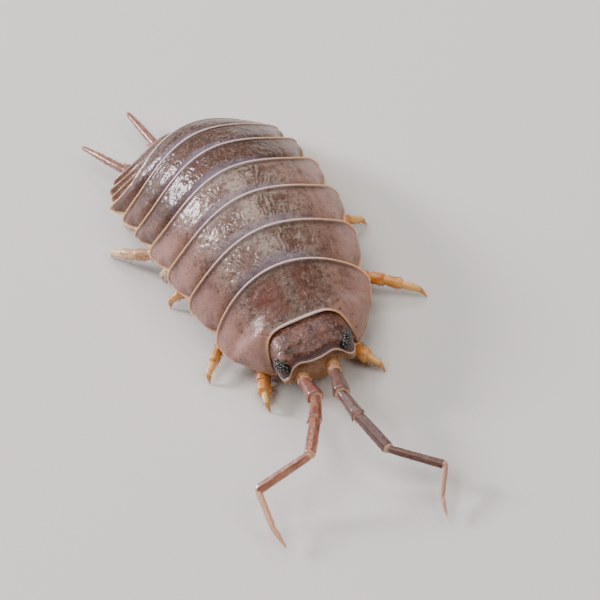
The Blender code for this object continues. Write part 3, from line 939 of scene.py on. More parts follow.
@dataclass
class ShellPlates:
    """The twelve shell plates of the thorax and the abdomen, and the skin between the two."""

    finish: Material
    first_finish: Material
    edge_thick: float = 0.10
    overlap: float = 0.30
    tail_overlap: float = 0.22
    facet_drop: float = 0.20
    facet_length: float = 0.80
    rim_lift: float = 0.05
    rim_bead: float = 0.030
    spacing: float = 0.037
    first_width: float = 3.26
    first_spread: float = 0.6
    first_height: float = 2.02
    notch_length: float = 0.15
    flap_step: float = 0.16
    flap_spread: float = 0.05
    tail_step: float = 0.15
    tail_droop: float = 0.27
    tail_roll: float = 0.16
    waist_share: float = 0.92
    waist_depth: float = 0.50
    waist_sink: float = 0.07
    waist_thick: float = 0.08
    waist_fold: float = 0.025
    stripe: float = 0.20
    mark_centre: float = 0.05
    streak_rise: float = 0.055
    mark_dip: float = 0.022
    swell: float = 0.018
    crease: float = 0.012
    pebble: float = 0.009
    hind_corner: float = 0.22
    front_corner: float = 0.40
    fore_plate_corner: float = 0.42
    mark_weights: Series = (1.0, 1.0, 1.0, 0.9, 0.55, 0.25, 0.12)
    # share of tail tint by plate; plates two to four take little, so their light middles stand
    # partly for a painted sheen
    darkness: Series = (0.80, 0.2, 0.0, 0.0, 1.0, 1.0, 1.0, 0.5, 0.5, 0.5, 0.5, 0.5)

    def build(self) -> None:
        """Build every plate, head end first, and the waist."""
        for index in range(1, len(BODY.rings)):
            self.plate(index)
        self.waist()

    def waist(self) -> None:
        """Build the folded skin that closes the step from the thorax down to the abdomen."""
        thorax, tail = BODY.rings[THORAX_PLATES : THORAX_PLATES + 2]
        share = np.linspace(-self.waist_share, self.waist_share, 97)[None, :]
        down = np.linspace(0.0, 1.0, 25)[:, None]
        place = np.full(share.shape, thorax.place - self.waist_depth)
        power = BODY.ring_value("sweep_power", place)
        thorax_sweep = BODY.ring_value("sweep", place) * np.abs(share) ** power
        top = BODY.point(
            place,
            BODY.ring_value("half_width", place) * share,
            (BODY.ring_value("height", place) - self.waist_sink) * BODY.dome(share),
            thorax_sweep,
        )
        droop = self.tail_droop * share**4 + self.tail_roll * share * np.abs(share)
        foot = BODY.point(
            np.full(share.shape, thorax.place + self.waist_sink),
            tail.half_width * share,
            (tail.height + self.tail_step - 2 * self.waist_sink) * BODY.dome(share) - droop,
            0.5 * tail.sweep * np.abs(share) ** tail.sweep_power,
        )
        grid = top + (foot - top) * down[..., None]
        normal = grid_normals(grid)
        fold = self.waist_fold * np.sin(6.0 * math.pi * down)
        grid = grid + normal * fold[..., None]
        shape = self.close(grid, grid - normal * self.waist_thick)
        across = np.broadcast_to(np.abs(share), grid.shape[:2])
        keep = self.inner_mask(*grid.shape[:2])
        values = {"across": np.concatenate([across.ravel(), across.ravel()[keep]])}
        values["tail"] = np.ones(len(shape[0]))
        make_piece("waist_skin", shape, self.finish, Slot.SHELL, values=values)

    def columns(self, width: float, height: float) -> tuple[Array, Array]:
        """Places across a plate, evenly along its arch and finer at its side edges.

        Args:
            width: half the plate's width.
            height: its height.

        Returns:
            Shares of the half width, and the same as lengths along the arch.
        """
        share = np.linspace(0.0, 1.0, 800)
        step = np.hypot(np.diff(share * width), np.diff(height * BODY.dome(share)))
        arc = np.concatenate([[0.0], np.cumsum(step)])
        near = np.array([0.0, 0.004, 0.014, 0.03, 0.055, 0.09])
        count = int((arc[-1] - near[-1]) / self.spacing)
        body = np.linspace(0.0, arc[-1] - near[-1], count)
        half = np.concatenate([body[:-1], arc[-1] - near[::-1]])
        shares = np.interp(half, arc, share)
        return np.append(-shares[:0:-1], shares), np.append(-half[:0:-1], half)

    def rows(self, length: float, fine_front: bool) -> Array:
        """Places along a plate from 0 to 1, finer at its hind edge.

        Args:
            length: the plate's length.
            fine_front: whether they are as fine at the front edge.

        Returns:
            The places.
        """
        near = np.array([0.0, 0.004, 0.014, 0.03, 0.05, 0.075, 0.105, 0.14, 0.18])
        start = near if fine_front else near[:5]
        middle = np.arange(start[-1] + self.spacing, length - near[-1], self.spacing)
        return np.concatenate([start, middle, length - near[::-1]]) / length

    def first_plate(self, v: Array, share: Array) -> Array:
        """The first plate's surface: a full arch round the head that opens to the dome.

        Args:
            v: how far back each place is, from 0 at the head to 1.
            share: shares of the half width.

        Returns:
            The points.
        """
        before, ring = BODY.rings[0], BODY.rings[1]
        place = before.place + v * (ring.place - before.place)
        spread = np.sin(0.5 * math.pi * v**self.first_spread)
        width = before.half_width + (self.first_width - before.half_width) * spread
        full = (1.0 - np.minimum(np.abs(share), 1.0) ** 4) ** 0.25
        opening = ease(0.0, 0.50, v)
        height = self.first_height + (ring.height - self.first_height) * v
        height = height + 0.10 * np.sin(math.pi * v)
        arch = full + (BODY.dome(share) - full) * opening
        front = -0.12 - 0.28 * share**4 - 0.30 * share**16
        back = front * np.exp(-v / self.notch_length) + ring.sweep * v * share**4
        out = width * share + HEAD_OFFSET * (1.0 - ease(0.0, 0.6, v))
        return BODY.point(place, out, height * arch, back)

    def cover(self, index: int) -> float:
        """How far the plate before covers a plate."""
        if index == 1:
            return 0.0
        return self.overlap if index <= THORAX_PLATES else self.tail_overlap

    def base(self, index: int) -> tuple[Array, Array, Array]:
        """The plate's smooth outer surface as a grid, before any relief.

        Args:
            index: the ring's number.

        Returns:
            The grid, the shares across and the arch lengths across.
        """
        before, ring = BODY.rings[index - 1], BODY.rings[index]
        first, abdomen = index == 1, index > THORAX_PLATES
        start, end = before.place - self.cover(index), ring.place
        length = end - start
        shares, arcs = self.columns(ring.half_width, ring.height)
        along = self.rows(length, first)[:, None]
        share = shares[None, :]
        out_mm = np.abs(share) * ring.half_width
        corner = self.fore_plate_corner if index <= 4 else self.hind_corner
        pull_hind = self.rounding(out_mm, ring.half_width, corner)
        pull_front = 0.0 if first else self.rounding(out_mm, ring.half_width, self.front_corner)
        place = start + pull_front + along * (length - pull_front - pull_hind)
        v = (place - before.place) / (ring.place - before.place)
        vc = np.clip(v, 0.0, 1.0)
        if first:
            return self.first_plate(vc, share + 0 * vc), shares, arcs
        width = BODY.ring_value("half_width", place)
        height = BODY.ring_value("height", place)
        sweep = BODY.ring_value("sweep", place)
        power = BODY.ring_value("sweep_power", place)
        droop = 0.0
        if abdomen:
            width = ring.half_width * (1.03 + 0.02 * vc)
            height = ring.height + self.tail_step * (1 - vc)
            sweep = ring.sweep * (0.45 + 0.55 * v)
            power = ring.sweep_power
            droop = self.tail_droop * share**4 + self.tail_roll * share * np.abs(share)
        else:
            width = width - self.flap_step * (1 - vc) ** 3 + self.flap_spread * vc
        back = sweep * np.abs(share) ** power
        grid = BODY.point(place, width * share, height * BODY.dome(share) - droop, back)
        return grid, shares, arcs

    @staticmethod
    def rounding(out: Array, width: float, radius: float) -> Array:
        """How far a corner of the given radius pulls an edge in, by the place across."""
        inward = np.clip((out - (width - radius)) / radius, 0.0, 1.0)
        return radius * (1.0 - np.sqrt(1.0 - inward**2))

    def plate(self, index: int) -> None:
        """Build one plate as a thin closed shell with rounded edges.

        Args:
            index: the ring's number.
        """
        first, abdomen = index == 1, index > THORAX_PLATES
        grid, shares, arcs = self.base(index)
        rows, columns = grid.shape[:2]
        normal = grid_normals(grid)
        if normal[rows // 2, columns // 2, 2] < 0:
            normal = -normal
        share = np.broadcast_to(np.abs(shares)[None, :], (rows, columns))
        arc = np.broadcast_to(arcs[None, :], (rows, columns))
        at = PlatePlaces(index, share, arc, **self.border_gaps(grid))
        hind, side, front = at.hind, at.side, at.front
        scale = 0.6 if abdomen else 1.0
        facet = 0.0 if first else 1.0 - ease(0.1, self.facet_length * scale, front)
        lift = self.rim_lift * ease(0.5, 0.0, hind) - self.facet_drop * scale * facet
        lift = lift * ease(0.0, 0.25, side + 0.08)
        grid = grid + normal * lift[..., None]
        fields = self.fields(at)
        relief = self.relief(at, fields)
        half = 0.5 * self.edge_thick
        near = np.minimum(np.minimum(hind, side), front)
        open_part = np.clip(near / half, 0.0, 1.0)
        curl = 1.0 - np.sqrt(1.0 - (1.0 - open_part) ** 2)
        outer = grid + normal * (relief * open_part - half * curl)[..., None]
        inner = grid - normal * (half * (2.0 - curl))[..., None]
        keep = self.inner_mask(rows, columns)
        values = {}
        for key, data in fields.items():
            flat = data.reshape(rows * columns, -1)
            values[key] = np.concatenate([flat, flat[keep]]).squeeze()
        name = BODY.rings[index].name
        finish = self.first_finish if first else self.finish
        shape = self.close(outer, inner)
        make_piece(f"plate_{name}", shape, finish, Slot.SHELL, [name], values)

    @staticmethod
    def inner_mask(rows: int, columns: int) -> Array:
        """Which points of the inner sheet aren't on the border, where the sheets meet."""
        mask = np.zeros((rows, columns), bool)
        mask[1:-1, 1:-1] = True
        return mask.ravel()

    def close(self, outer: Array, inner: Array) -> tuple[Array, list[list[int]]]:
        """Join an outer and an inner sheet along their border.

        Args:
            outer: the outer grid.
            inner: the inner grid, whose border points are left out.

        Returns:
            The points and the faces.
        """
        rows, columns = outer.shape[:2]
        mask = self.inner_mask(rows, columns)
        index = np.arange(rows * columns)
        index[mask] = rows * columns + np.arange(mask.sum())
        points = np.vstack([outer.reshape(-1, 3), inner.reshape(-1, 3)[mask]])
        top = grid_faces(rows, columns)
        under = index[np.array(top)][:, ::-1]
        return points, top + under.tolist()

    @staticmethod
    def border_gaps(grid: Array) -> dict[str, Array]:
        """How far each point of a grid is from its hind, side and front borders.

        Args:
            grid: rows by columns by three numbers.

        Returns:
            The distances by the border's name.
        """
        points = grid.reshape(-1, 3)
        borders = {
            "hind": grid[-1],
            "front": grid[0],
            "side": np.vstack([grid[:, 0], grid[:, -1]]),
        }
        gaps = {}
        for name, line in borders.items():
            best = np.full(len(points), np.inf)
            for start in range(0, len(line), 40):
                part = line[start : start + 40]
                distance = np.linalg.norm(points[:, None, :] - part[None, :, :], axis=-1)
                best = np.minimum(best, distance.min(axis=1))
            gaps[name] = best.reshape(grid.shape[:2])
        return gaps

    def fields(self, at: PlatePlaces) -> dict[str, Array]:
        """The plate's point attributes, which its relief and its material read.

        Args:
            at: where each point is on the plate.

        Returns:
            The attributes by name.
        """
        index, share, arc = at.index, at.share, at.arc
        hind, side, front = at.hind, at.side, at.front
        first, shape = index == 1, share.shape
        seen = front - self.cover(index)
        wander = Grain(3).layered(at.flat() * 2.0).reshape(shape)
        weight = self.mark_weights[index - 1] if index <= THORAX_PLATES else 0.0
        aside = np.abs(share * np.sign(arc) - self.mark_centre)
        across = ease(0.02, 0.17, aside + 0.07 * wander)
        across = across * ease(0.56, 0.32, aside + 0.18 * wander)
        along = ease(0.28, 0.50, hind + 0.16 * wander)
        along = along * ease(0.22, 0.50, seen + 0.16 * wander)
        if first:
            along = along * ease(2.30, 1.85, hind + 0.25 * wander)
        drift = Grain(8).layered(at.flat() * 2.6, 2).reshape(shape)
        phase = (arc * (1.0 + 0.22 * (hind - 0.8)) + 0.22 * drift) / self.stripe
        breaks = Grain(9).at(at.flat(4.5, 2.6)).reshape(shape)
        streak = ease(-0.25, 0.85, np.cos(2 * math.pi * phase)) * ease(-0.25, 0.25, breaks)
        worms = ease(-0.1, 0.35, Grain(5).at(at.flat(6.5, 4.5)))
        tail = np.full(shape, self.darkness[index - 1])
        if first:
            left = ease(-0.1, 0.1, arc)
            streak = (0.15 + 0.25 * left) * streak + (0.15 + 0.35 * left) * worms.reshape(shape)
            weight = 1.40 - 0.55 * left
            tail = tail * ease(0.75, 0.35, share)
        rim = ease(0.115, 0.070, hind)
        # painted shade: the groove just in front of the hind rim, which the material darkens
        groove_shade = bump(0.20, 0.090, hind) * ease(0.97, 0.85, share)
        if first:
            rim = np.maximum(rim, ease(0.110, 0.070, front) * ease(1.0, 0.97, share))
        # painted reflection: where the bluish sheen band lies, near the midline just behind the
        # covered front of plates two to seven
        band = np.zeros(shape)
        if index <= THORAX_PLATES and not first:
            band = ease(0.03, 0.12, seen) * ease(0.60, 0.18, seen + 0.10 * wander)
            band = band * ease(0.75, 0.25, np.abs(share - 0.02) + 0.12 * wander)
        return {
            "across": share,
            "mark": weight * across * along,
            "streak": np.clip(streak, 0.0, 1.0),
            "rim": rim * (0.35 if index > THORAX_PLATES else 1.0),
            "groove_shade": groove_shade * (0.3 if index > THORAX_PLATES else 1.0),
            "band": band,
            "ruddy": np.full(shape, 1.0 if first else 0.25),
            "edge": ease(0.13, 0.04, side) * (0.3 if index > THORAX_PLATES else 0.85),
            "tail": tail,
            "flow": np.stack([arc, hind, np.full(shape, float(index))], -1),
        }

    def relief(self, at: PlatePlaces, fields: dict[str, Array]) -> Array:
        """How far the plate's detail stands above its smooth surface.

        Args:
            at: where each point is on the plate.
            fields: the plate's attributes.

        Returns:
            The heights.
        """
        index, share, shape = at.index, at.share, at.share.shape
        hind, side, front = at.hind, at.side, at.front
        bead = self.rim_bead * bump(0.050, 0.034, hind) - 0.022 * bump(0.19, 0.07, hind)
        if index == 1:
            bead = bead + 1.3 * self.rim_bead * bump(0.055, 0.040, front)
            bead = bead - 0.020 * bump(0.20, 0.08, front)
        bead = bead + 0.6 * self.rim_bead * bump(0.05, 0.04, side)
        swell = self.swell * Grain(index + 11).layered(at.flat() * 1.1).reshape(shape)
        pebble = Grain(4).at(at.flat(8.0, 8.0)).reshape(shape)
        # smoother under the painted sheen band and on the flanks
        calm = 1.0 - 0.8 * np.clip(fields["band"] + ease(0.62, 0.85, share), 0.0, 1.0)
        crease = -self.crease * bump(0.735, 0.018, share) if index <= THORAX_PLATES else 0.0
        marks = fields["mark"] * (self.streak_rise * fields["streak"] - self.mark_dip)
        inward = ease(0.1, 0.35, hind)
        pebbles = self.pebble * pebble * calm
        return bead + crease + swell * inward + marks + pebbles * inward


@dataclass
class Telson:
    """The pointed last plate."""

    finish: Material
    rings: tuple[Quad, ...] = (
        (-0.25, 0.80, 0.84, 0.45),
        (0.00, 0.78, 0.86, 0.40),
        (0.20, 0.66, 0.84, 0.38),
        (0.42, 0.48, 0.76, 0.36),
        (0.62, 0.32, 0.68, 0.34),
        (0.80, 0.20, 0.60, 0.33),
        (0.94, 0.12, 0.52, 0.32),
        (1.02, 0.05, 0.47, 0.34),
    )
    sides: int = 48
    furrow: float = 0.05
    slope: float = 0.22
    drop: float = 0.10

    def build(self) -> None:
        """Build the telson as a flattened tapering cone with a furrow along its back."""
        rows = np.array(self.rings)
        fine = np.linspace(0, len(rows) - 1, 40)
        table = np.stack([np.interp(fine, np.arange(len(rows)), rows[:, k]) for k in range(4)], -1)
        place = BODY.rings[-1].place + 0.05
        angle = circle(self.sides)[None, :]
        back, half, top, bottom = (table[:, k][:, None] for k in range(4))
        top, bottom = (edge - self.slope * back - self.drop for edge in (top, bottom))
        out = half * np.cos(angle)
        up = 0.5 * (top + bottom) + 0.5 * (top - bottom) * np.sin(angle)
        up = up - self.furrow * bump(0.0, 0.12, out) * (np.sin(angle) > 0)
        grid = BODY.point(place, out, up, back + 0 * angle)
        points, faces = closed_tube(grid)
        count = len(points)
        along = np.append(np.repeat(back.ravel(), self.sides), [back.min(), back.max()])
        plain = ("across", "mark", "band", "groove_shade", "streak", "edge")
        values = {key: np.zeros(count) for key in plain}
        values["rim"] = ease(0.92, 1.02, along) * 0.7
        values["tail"] = np.ones(count)
        values["flow"] = np.stack([points[:, 0], along, np.zeros(count)], -1)
        shape = (points, faces)
        make_piece("telson_plate", shape, self.finish, Slot.SHELL, ["telson"], values)


@dataclass
class Head:
    """The head: a granular crown with a lobed rim, and the face under it."""

    finish: Material
    half_width: float = 1.60
    slices: int = 190
    rim_knots: tuple[Triple, ...] = (
        (0.0, 1.56, 1.52),
        (0.14, 1.55, 1.52),
        (0.29, 1.48, 1.50),
        (0.42, 1.41, 1.47),
        (0.55, 1.43, 1.42),
        (0.65, 1.52, 1.36),
        (0.75, 1.66, 1.27),
        (0.84, 1.70, 1.19),
        (0.92, 1.60, 1.13),
        (0.97, 1.38, 1.10),
        (1.0, 1.12, 1.08),
    )
    fullness: float = 4.2
    grain_height: float = 0.010
    pebble_height: float = 0.016
    pit_depth: float = 0.020

    @staticmethod
    def place() -> float:
        """The place along the body that the head is measured from."""
        return BODY.rings[0].place - 0.3

    def rim(self, share: Array) -> tuple[Array, Array]:
        """How far forward the rim reaches, and how high it lies."""
        shares, reach, level = zip(*self.rim_knots)
        q = np.abs(share)
        return through(shares, reach, q), through(shares, level, q)

    def profile(self, share: float) -> Array:
        """The closed outline of one lengthwise slice of the head.

        Args:
            share: the slice's place as a share of the half width, from -1 to 1.

        Returns:
            Points as back and up, from the nape over the crown, rim and face to the throat.
        """
        q = abs(share)
        sink = math.sqrt(max(1.0 - q**self.fullness, 0.0))
        forward, level = (float(value) for value in self.rim(share))
        crown = 1.14 + 0.86 * sink
        chin = 1.05 - 0.85 * sink
        brow = level + (crown - level) * 0.52
        knots = [
            (0.42, crown - 0.55 * (crown - chin)),
            (0.40, crown - 0.22),
            (0.05, crown - 0.07),
            (-0.30, crown - 0.01),
            (-0.70, crown - 0.02),
            (-forward + 0.52, crown - 0.12 * sink),
            (-forward + 0.25, brow),
            (-forward + 0.13, level + 0.02 + 0.10 * (brow - level)),
            (-forward + 0.05, level + 0.035),
            (-forward, level + 0.01),
            (-forward + 0.015, level - 0.05),
            (-forward + 0.10, level - 0.10),
            (-forward + 0.16, level - 0.20),
            (-forward + 0.12 + 0.02 * sink, level - 0.24 - 0.22 * sink),
            (-forward + 0.24, chin + 0.28 * sink),
            (-forward + 0.56, chin + 0.02),
            (-0.40, chin - 0.03 * sink),
            (0.25, chin + 0.06),
        ]
        return self.smooth_loop(np.array(knots))

    @staticmethod
    def smooth_loop(knots: Array) -> Array:
        """A closed curve through knots.

        Args:
            knots: the knots, two numbers each.

        Returns:
            Points along the curve.
        """
        count = len(knots)
        parts = []
        t = np.linspace(0, 1, 20, endpoint=False)[:, None]
        for i in range(count):
            p0, p1, p2, p3 = (knots[(i + k - 1) % count] for k in range(4))
            m1, m2 = 0.5 * (p2 - p0), 0.5 * (p3 - p1)
            limit = 1.5 * np.linalg.norm(p2 - p1)
            m1 = m1 * min(1.0, limit / max(np.linalg.norm(m1), 1e-9))
            m2 = m2 * min(1.0, limit / max(np.linalg.norm(m2), 1e-9))
            parts.append(
                (2 * t**3 - 3 * t**2 + 1) * p1
                + (t**3 - 2 * t**2 + t) * m1
                + (3 * t**2 - 2 * t**3) * p2
                + (t**3 - t**2) * m2
            )
        return np.vstack(parts)

    def build(self) -> None:
        """Build the head as slices from one side to the other."""
        angle = np.linspace(-0.5 * math.pi, 0.5 * math.pi, self.slices)
        shares = np.sin(angle) * 0.997
        loops = np.array([self.profile(share) for share in shares])
        shape = loops.shape[:2]
        back, up = loops[..., 0], loops[..., 1]
        out = (shares * self.half_width)[:, None] + HEAD_OFFSET + 0 * back
        grid = BODY.point(self.place(), out, up, back)
        forward, level = (value[:, None] for value in self.rim(shares))
        gap = np.hypot(back + forward, up - level - 0.01)
        above = ease(-0.03, 0.03, up - level + 0.10 * ease(0.0, 0.2, back + forward - 0.1))
        rim = ease(0.072, 0.036, gap)
        band = bump(0.17, 0.07, gap) * above
        face = (1.0 - above) * (1.0 - rim)
        flat = grid.reshape(-1, 3) + 30.0
        normal = grid - grid.mean(axis=1, keepdims=True)
        normal = normal / np.maximum(np.linalg.norm(normal, axis=-1, keepdims=True), 1e-9)
        grain = self.grain_height * Grain(21).layered(flat * 2.2).reshape(shape)
        pebble = Grain(22).at(flat * 8.5).reshape(shape)
        pits = Grain(23).at(flat * 5.0).reshape(shape)
        rough = self.pebble_height * pebble - self.pit_depth * ease(0.15, 0.7, pits)
        height = (grain + rough) * (1.0 - rim) * ease(0.02, 0.25, 1.0 - np.abs(shares))[:, None]
        grid = grid + normal * height[..., None]

        def pad(data: Array) -> Array:
            """Add the two poles' values."""
            return np.append(np.broadcast_to(data, shape).ravel(), [0.0, 0.0])

        values = {"rim": pad(rim), "face": pad(face), "band": pad(band)}
        make_piece("head_shell", closed_tube(grid), self.finish, Slot.HEAD, ["head"], values)


@dataclass
class Eyes:
    """The two eyes: a low oval mound set with close rows of facet lenses."""

    finish: Material
    lens_finish: Material
    size: Triple = (0.38, 0.22, 0.24)
    place: Triple = (1.30, 1.21, 1.50)
    splay: float = 0.45
    lean: float = 0.10
    outlook: Triple = (0.62, 0.70, -0.25)
    facet: float = 0.053
    pitch: float = 0.115
    row_share: float = 0.87

    def build(self) -> None:
        """Build both eyes."""
        for side in SIDES:
            self.eye(side)

    def axes(self, sign: float) -> Array:
        """The eye's long, short and outward axes, as columns in millimetres.

        Args:
            sign: 1 for the left eye, -1 for the right.

        Returns:
            The three axes, each as long as the eye's half size.
        """
        side, back, up = (BODY.direction(name, Head.place()) for name in ("side", "back", "up"))
        long = math.cos(self.splay) * back + math.sin(self.splay) * sign * side + self.lean * up
        long = unit(long)
        out, high, rear = self.outlook
        outward = sign * out * side + high * up + rear * back
        outward = outward - long * (outward @ long)
        outward = unit(outward)
        short = np.cross(outward, long)
        return np.stack([long * self.size[0], short * self.size[1], outward * self.size[2]], -1)

    def eye(self, side: str) -> None:
        """Build one eye.

        Args:
            side: the animal's left or right.
        """
        sign = 1.0 if side == "left" else -1.0
        out, forward, up = self.place
        centre = BODY.point(Head.place(), sign * out + HEAD_OFFSET, up, -forward)
        turn = self.axes(sign)
        work = bmesh.new()
        bmesh.ops.create_icosphere(work, subdivisions=4, radius=1.0)
        for vertex in work.verts:
            vertex.co = Vector(to_metres(centre + turn @ np.array(vertex.co)))
        mesh = bpy.data.meshes.new(f"eye_{side}_mound")
        work.to_mesh(mesh)
        work.free()
        mesh.materials.append(self.finish)
        mesh.materials.append(self.lens_finish)
        made = link_new(f"eye_{side}_facets", mesh)
        face_outward(made)
        self.join(made, self.beads(side, centre, turn))
        settle(made, Slot.EYES, f"eye_{side}")

    def beads(self, side: str, centre: Array, turn: Array) -> Object:
        """Rows of lenses over the outer face of the mound, set by a bead tree.

        Args:
            side: the animal's left or right.
            centre: the mound's centre.
            turn: its axes.

        Returns:
            The lenses, as one object.
        """
        spots = []
        row_step = self.pitch * self.row_share
        rows = int(1.0 / row_step * self.size[1])
        for row in range(-rows, rows + 1):
            across = row * self.pitch * self.row_share / self.size[1]
            count = int(self.size[0] / self.pitch) + 1
            for k in range(-count, count + 1):
                along = (k + 0.5 * (row % 2)) * self.pitch / self.size[0]
                rest = 1.0 - along**2 - across**2
                if rest > 0.03:
                    spots.append((along, across, math.sqrt(rest)))
        places = centre + np.array(spots) @ turn.T
        mesh = bpy.data.meshes.new(f"eye_{side}_spots")
        mesh.from_pydata(to_metres(places), [], [])
        host = link_new(f"eye_{side}_spots", mesh)
        return grow(host, bead_tree(self.lens_finish), {"Radius": self.facet * MM})

    @staticmethod
    def join(made: Object, other: Object) -> None:
        """Add another object's mesh to a piece, in its second finish, and remove the other.

        Args:
            made: the piece.
            other: the object that is added.
        """
        work = bmesh.new()
        work.from_mesh(made.data)
        count = len(work.faces)
        work.from_mesh(other.data)
        for face in list(work.faces)[count:]:
            face.material_index = 1
        work.to_mesh(made.data)
        work.free()
        made.data.shade_smooth()
        bpy.data.objects.remove(other, do_unlink=True)


def new_tree(name: str, inputs: Sequence[tuple[str, str, float]]) -> tuple[Nodes, Node]:
    """An empty geometry tree with named inputs.

    Args:
        name: the tree's name.
        inputs: each input's name, socket type and first value.

    Returns:
        The tree's nodes, and its input node.
    """
    tree = bpy.data.node_groups.new(name, "GeometryNodeTree")
    face = tree.interface
    face.new_socket("Geometry", in_out="INPUT", socket_type="NodeSocketGeometry")
    face.new_socket("Geometry", in_out="OUTPUT", socket_type="NodeSocketGeometry")
    for label, kind, value in inputs:
        face.new_socket(label, in_out="INPUT", socket_type=kind).default_value = value
    nodes = Nodes(tree)
    return nodes, nodes.add("NodeGroupInput")


def end_tree(nodes: Nodes, geometry: NodeSocket, finish: Material) -> None:
    """End a geometry tree in realised instances with their material set.

    Args:
        nodes: the tree's nodes.
        geometry: the socket with the instances.
        finish: their material.
    """
    real = nodes.add("GeometryNodeRealizeInstances", {"Geometry": geometry})
    painted = nodes.add(
        "GeometryNodeSetMaterial", {"Geometry": real.outputs[0], "Material": finish}
    )
    output = nodes.add("NodeGroupOutput")
    nodes.tree.links.new(painted.outputs[0], output.inputs[0])


def bead_tree(finish: Material) -> NodeTree:
    """A tree that sets a small round bead on each point of a mesh.

    Args:
        finish: the beads' material.

    Returns:
        The tree.
    """
    nodes, inputs = new_tree("beads", [("Radius", "NodeSocketFloat", 0.00005)])
    ball = nodes.add(
        "GeometryNodeMeshIcoSphere", {"Subdivisions": 3, "Radius": inputs.outputs["Radius"]}
    )
    smooth = nodes.add("GeometryNodeSetShadeSmooth", {"Geometry": ball.outputs[0]})
    placed = nodes.add(
        "GeometryNodeInstanceOnPoints",
        {"Points": inputs.outputs["Geometry"], "Instance": smooth.outputs[0]},
    )
    end_tree(nodes, placed.outputs[0], finish)
    return nodes.tree


def bristle_tree(finish: Material) -> NodeTree:
    """A tree that sets a tapered bristle on each point, along its aim and of its length.

    Args:
        finish: the bristles' material.

    Returns:
        The tree.
    """
    nodes, inputs = new_tree(
        "bristles",
        [
            ("Root Radius", "NodeSocketFloat", 0.00002),
            ("Tip Radius", "NodeSocketFloat", 0.000003),
            ("Seed", "NodeSocketInt", 1),
        ],
    )
    cone = nodes.add(
        "GeometryNodeMeshCone",
        {
            "Vertices": 5,
            "Side Segments": 2,
            "Radius Top": inputs.outputs["Tip Radius"],
            "Radius Bottom": inputs.outputs["Root Radius"],
            "Depth": 0.001,
        },
    )
    aim = nodes.add("GeometryNodeInputNamedAttribute", {"Name": "aim"}, data_type="FLOAT_VECTOR")
    size = nodes.add("GeometryNodeInputNamedAttribute", {"Name": "size"}, data_type="FLOAT")
    turn = nodes.add(
        "FunctionNodeAlignRotationToVector", {"Vector": aim.outputs["Attribute"]}, axis="Z"
    )
    vary = nodes.add(
        "FunctionNodeRandomValue", {"Seed": inputs.outputs["Seed"]}, data_type="FLOAT"
    )
    vary.inputs[2].default_value = 0.75
    vary.inputs[3].default_value = 1.25
    length = nodes.times(size.outputs["Attribute"], vary.outputs[1])
    scale = nodes.add("ShaderNodeCombineXYZ", {"X": 1.0, "Y": 1.0, "Z": length})
    placed = nodes.add(
        "GeometryNodeInstanceOnPoints",
        {
            "Points": inputs.outputs["Geometry"],
            "Instance": cone.outputs["Mesh"],
            "Rotation": turn.outputs[0],
            "Scale": scale.outputs[0],
        },
    )
    smooth = nodes.add("GeometryNodeSetShadeSmooth", {"Geometry": placed.outputs[0]})
    end_tree(nodes, smooth.outputs[0], finish)
    return nodes.tree


def grow(host: Object, tree: NodeTree, settings: dict[str, float]) -> Object:
    """Run a geometry tree on an object and keep the result as its plain mesh.

    Args:
        host: the object that the tree works on.
        tree: the tree.
        settings: input values by name.

    Returns:
        The same object, with the tree's result as its mesh.
    """
    modifier = host.modifiers.new(tree.name, "NODES")
    modifier.node_group = tree
    for item in tree.interface.items_tree:
        if item.item_type == "SOCKET" and item.in_out == "INPUT" and item.name in settings:
            modifier[item.identifier] = settings[item.name]
    bpy.context.view_layer.update()
    graph = bpy.context.evaluated_depsgraph_get()
    result = bpy.data.meshes.new_from_object(host.evaluated_get(graph))
    host.modifiers.remove(modifier)
    host.data = result
    return host


@dataclass(frozen=True)
class Article:
    """One article of a limb, from a joint to the next."""

    start: Triple
    end: Triple
    radii: Curve
    flatness: float = 1.0
    ribs: float = 0.0
    teeth: float = 0.0
    dusk: float = 0.0
    light: float = 0.0

    def radius(self, share: Array) -> Array:
        """The radius at shares of the length, before the rounded ends."""
        return through([row[0] for row in self.radii], [row[1] for row in self.radii], share)


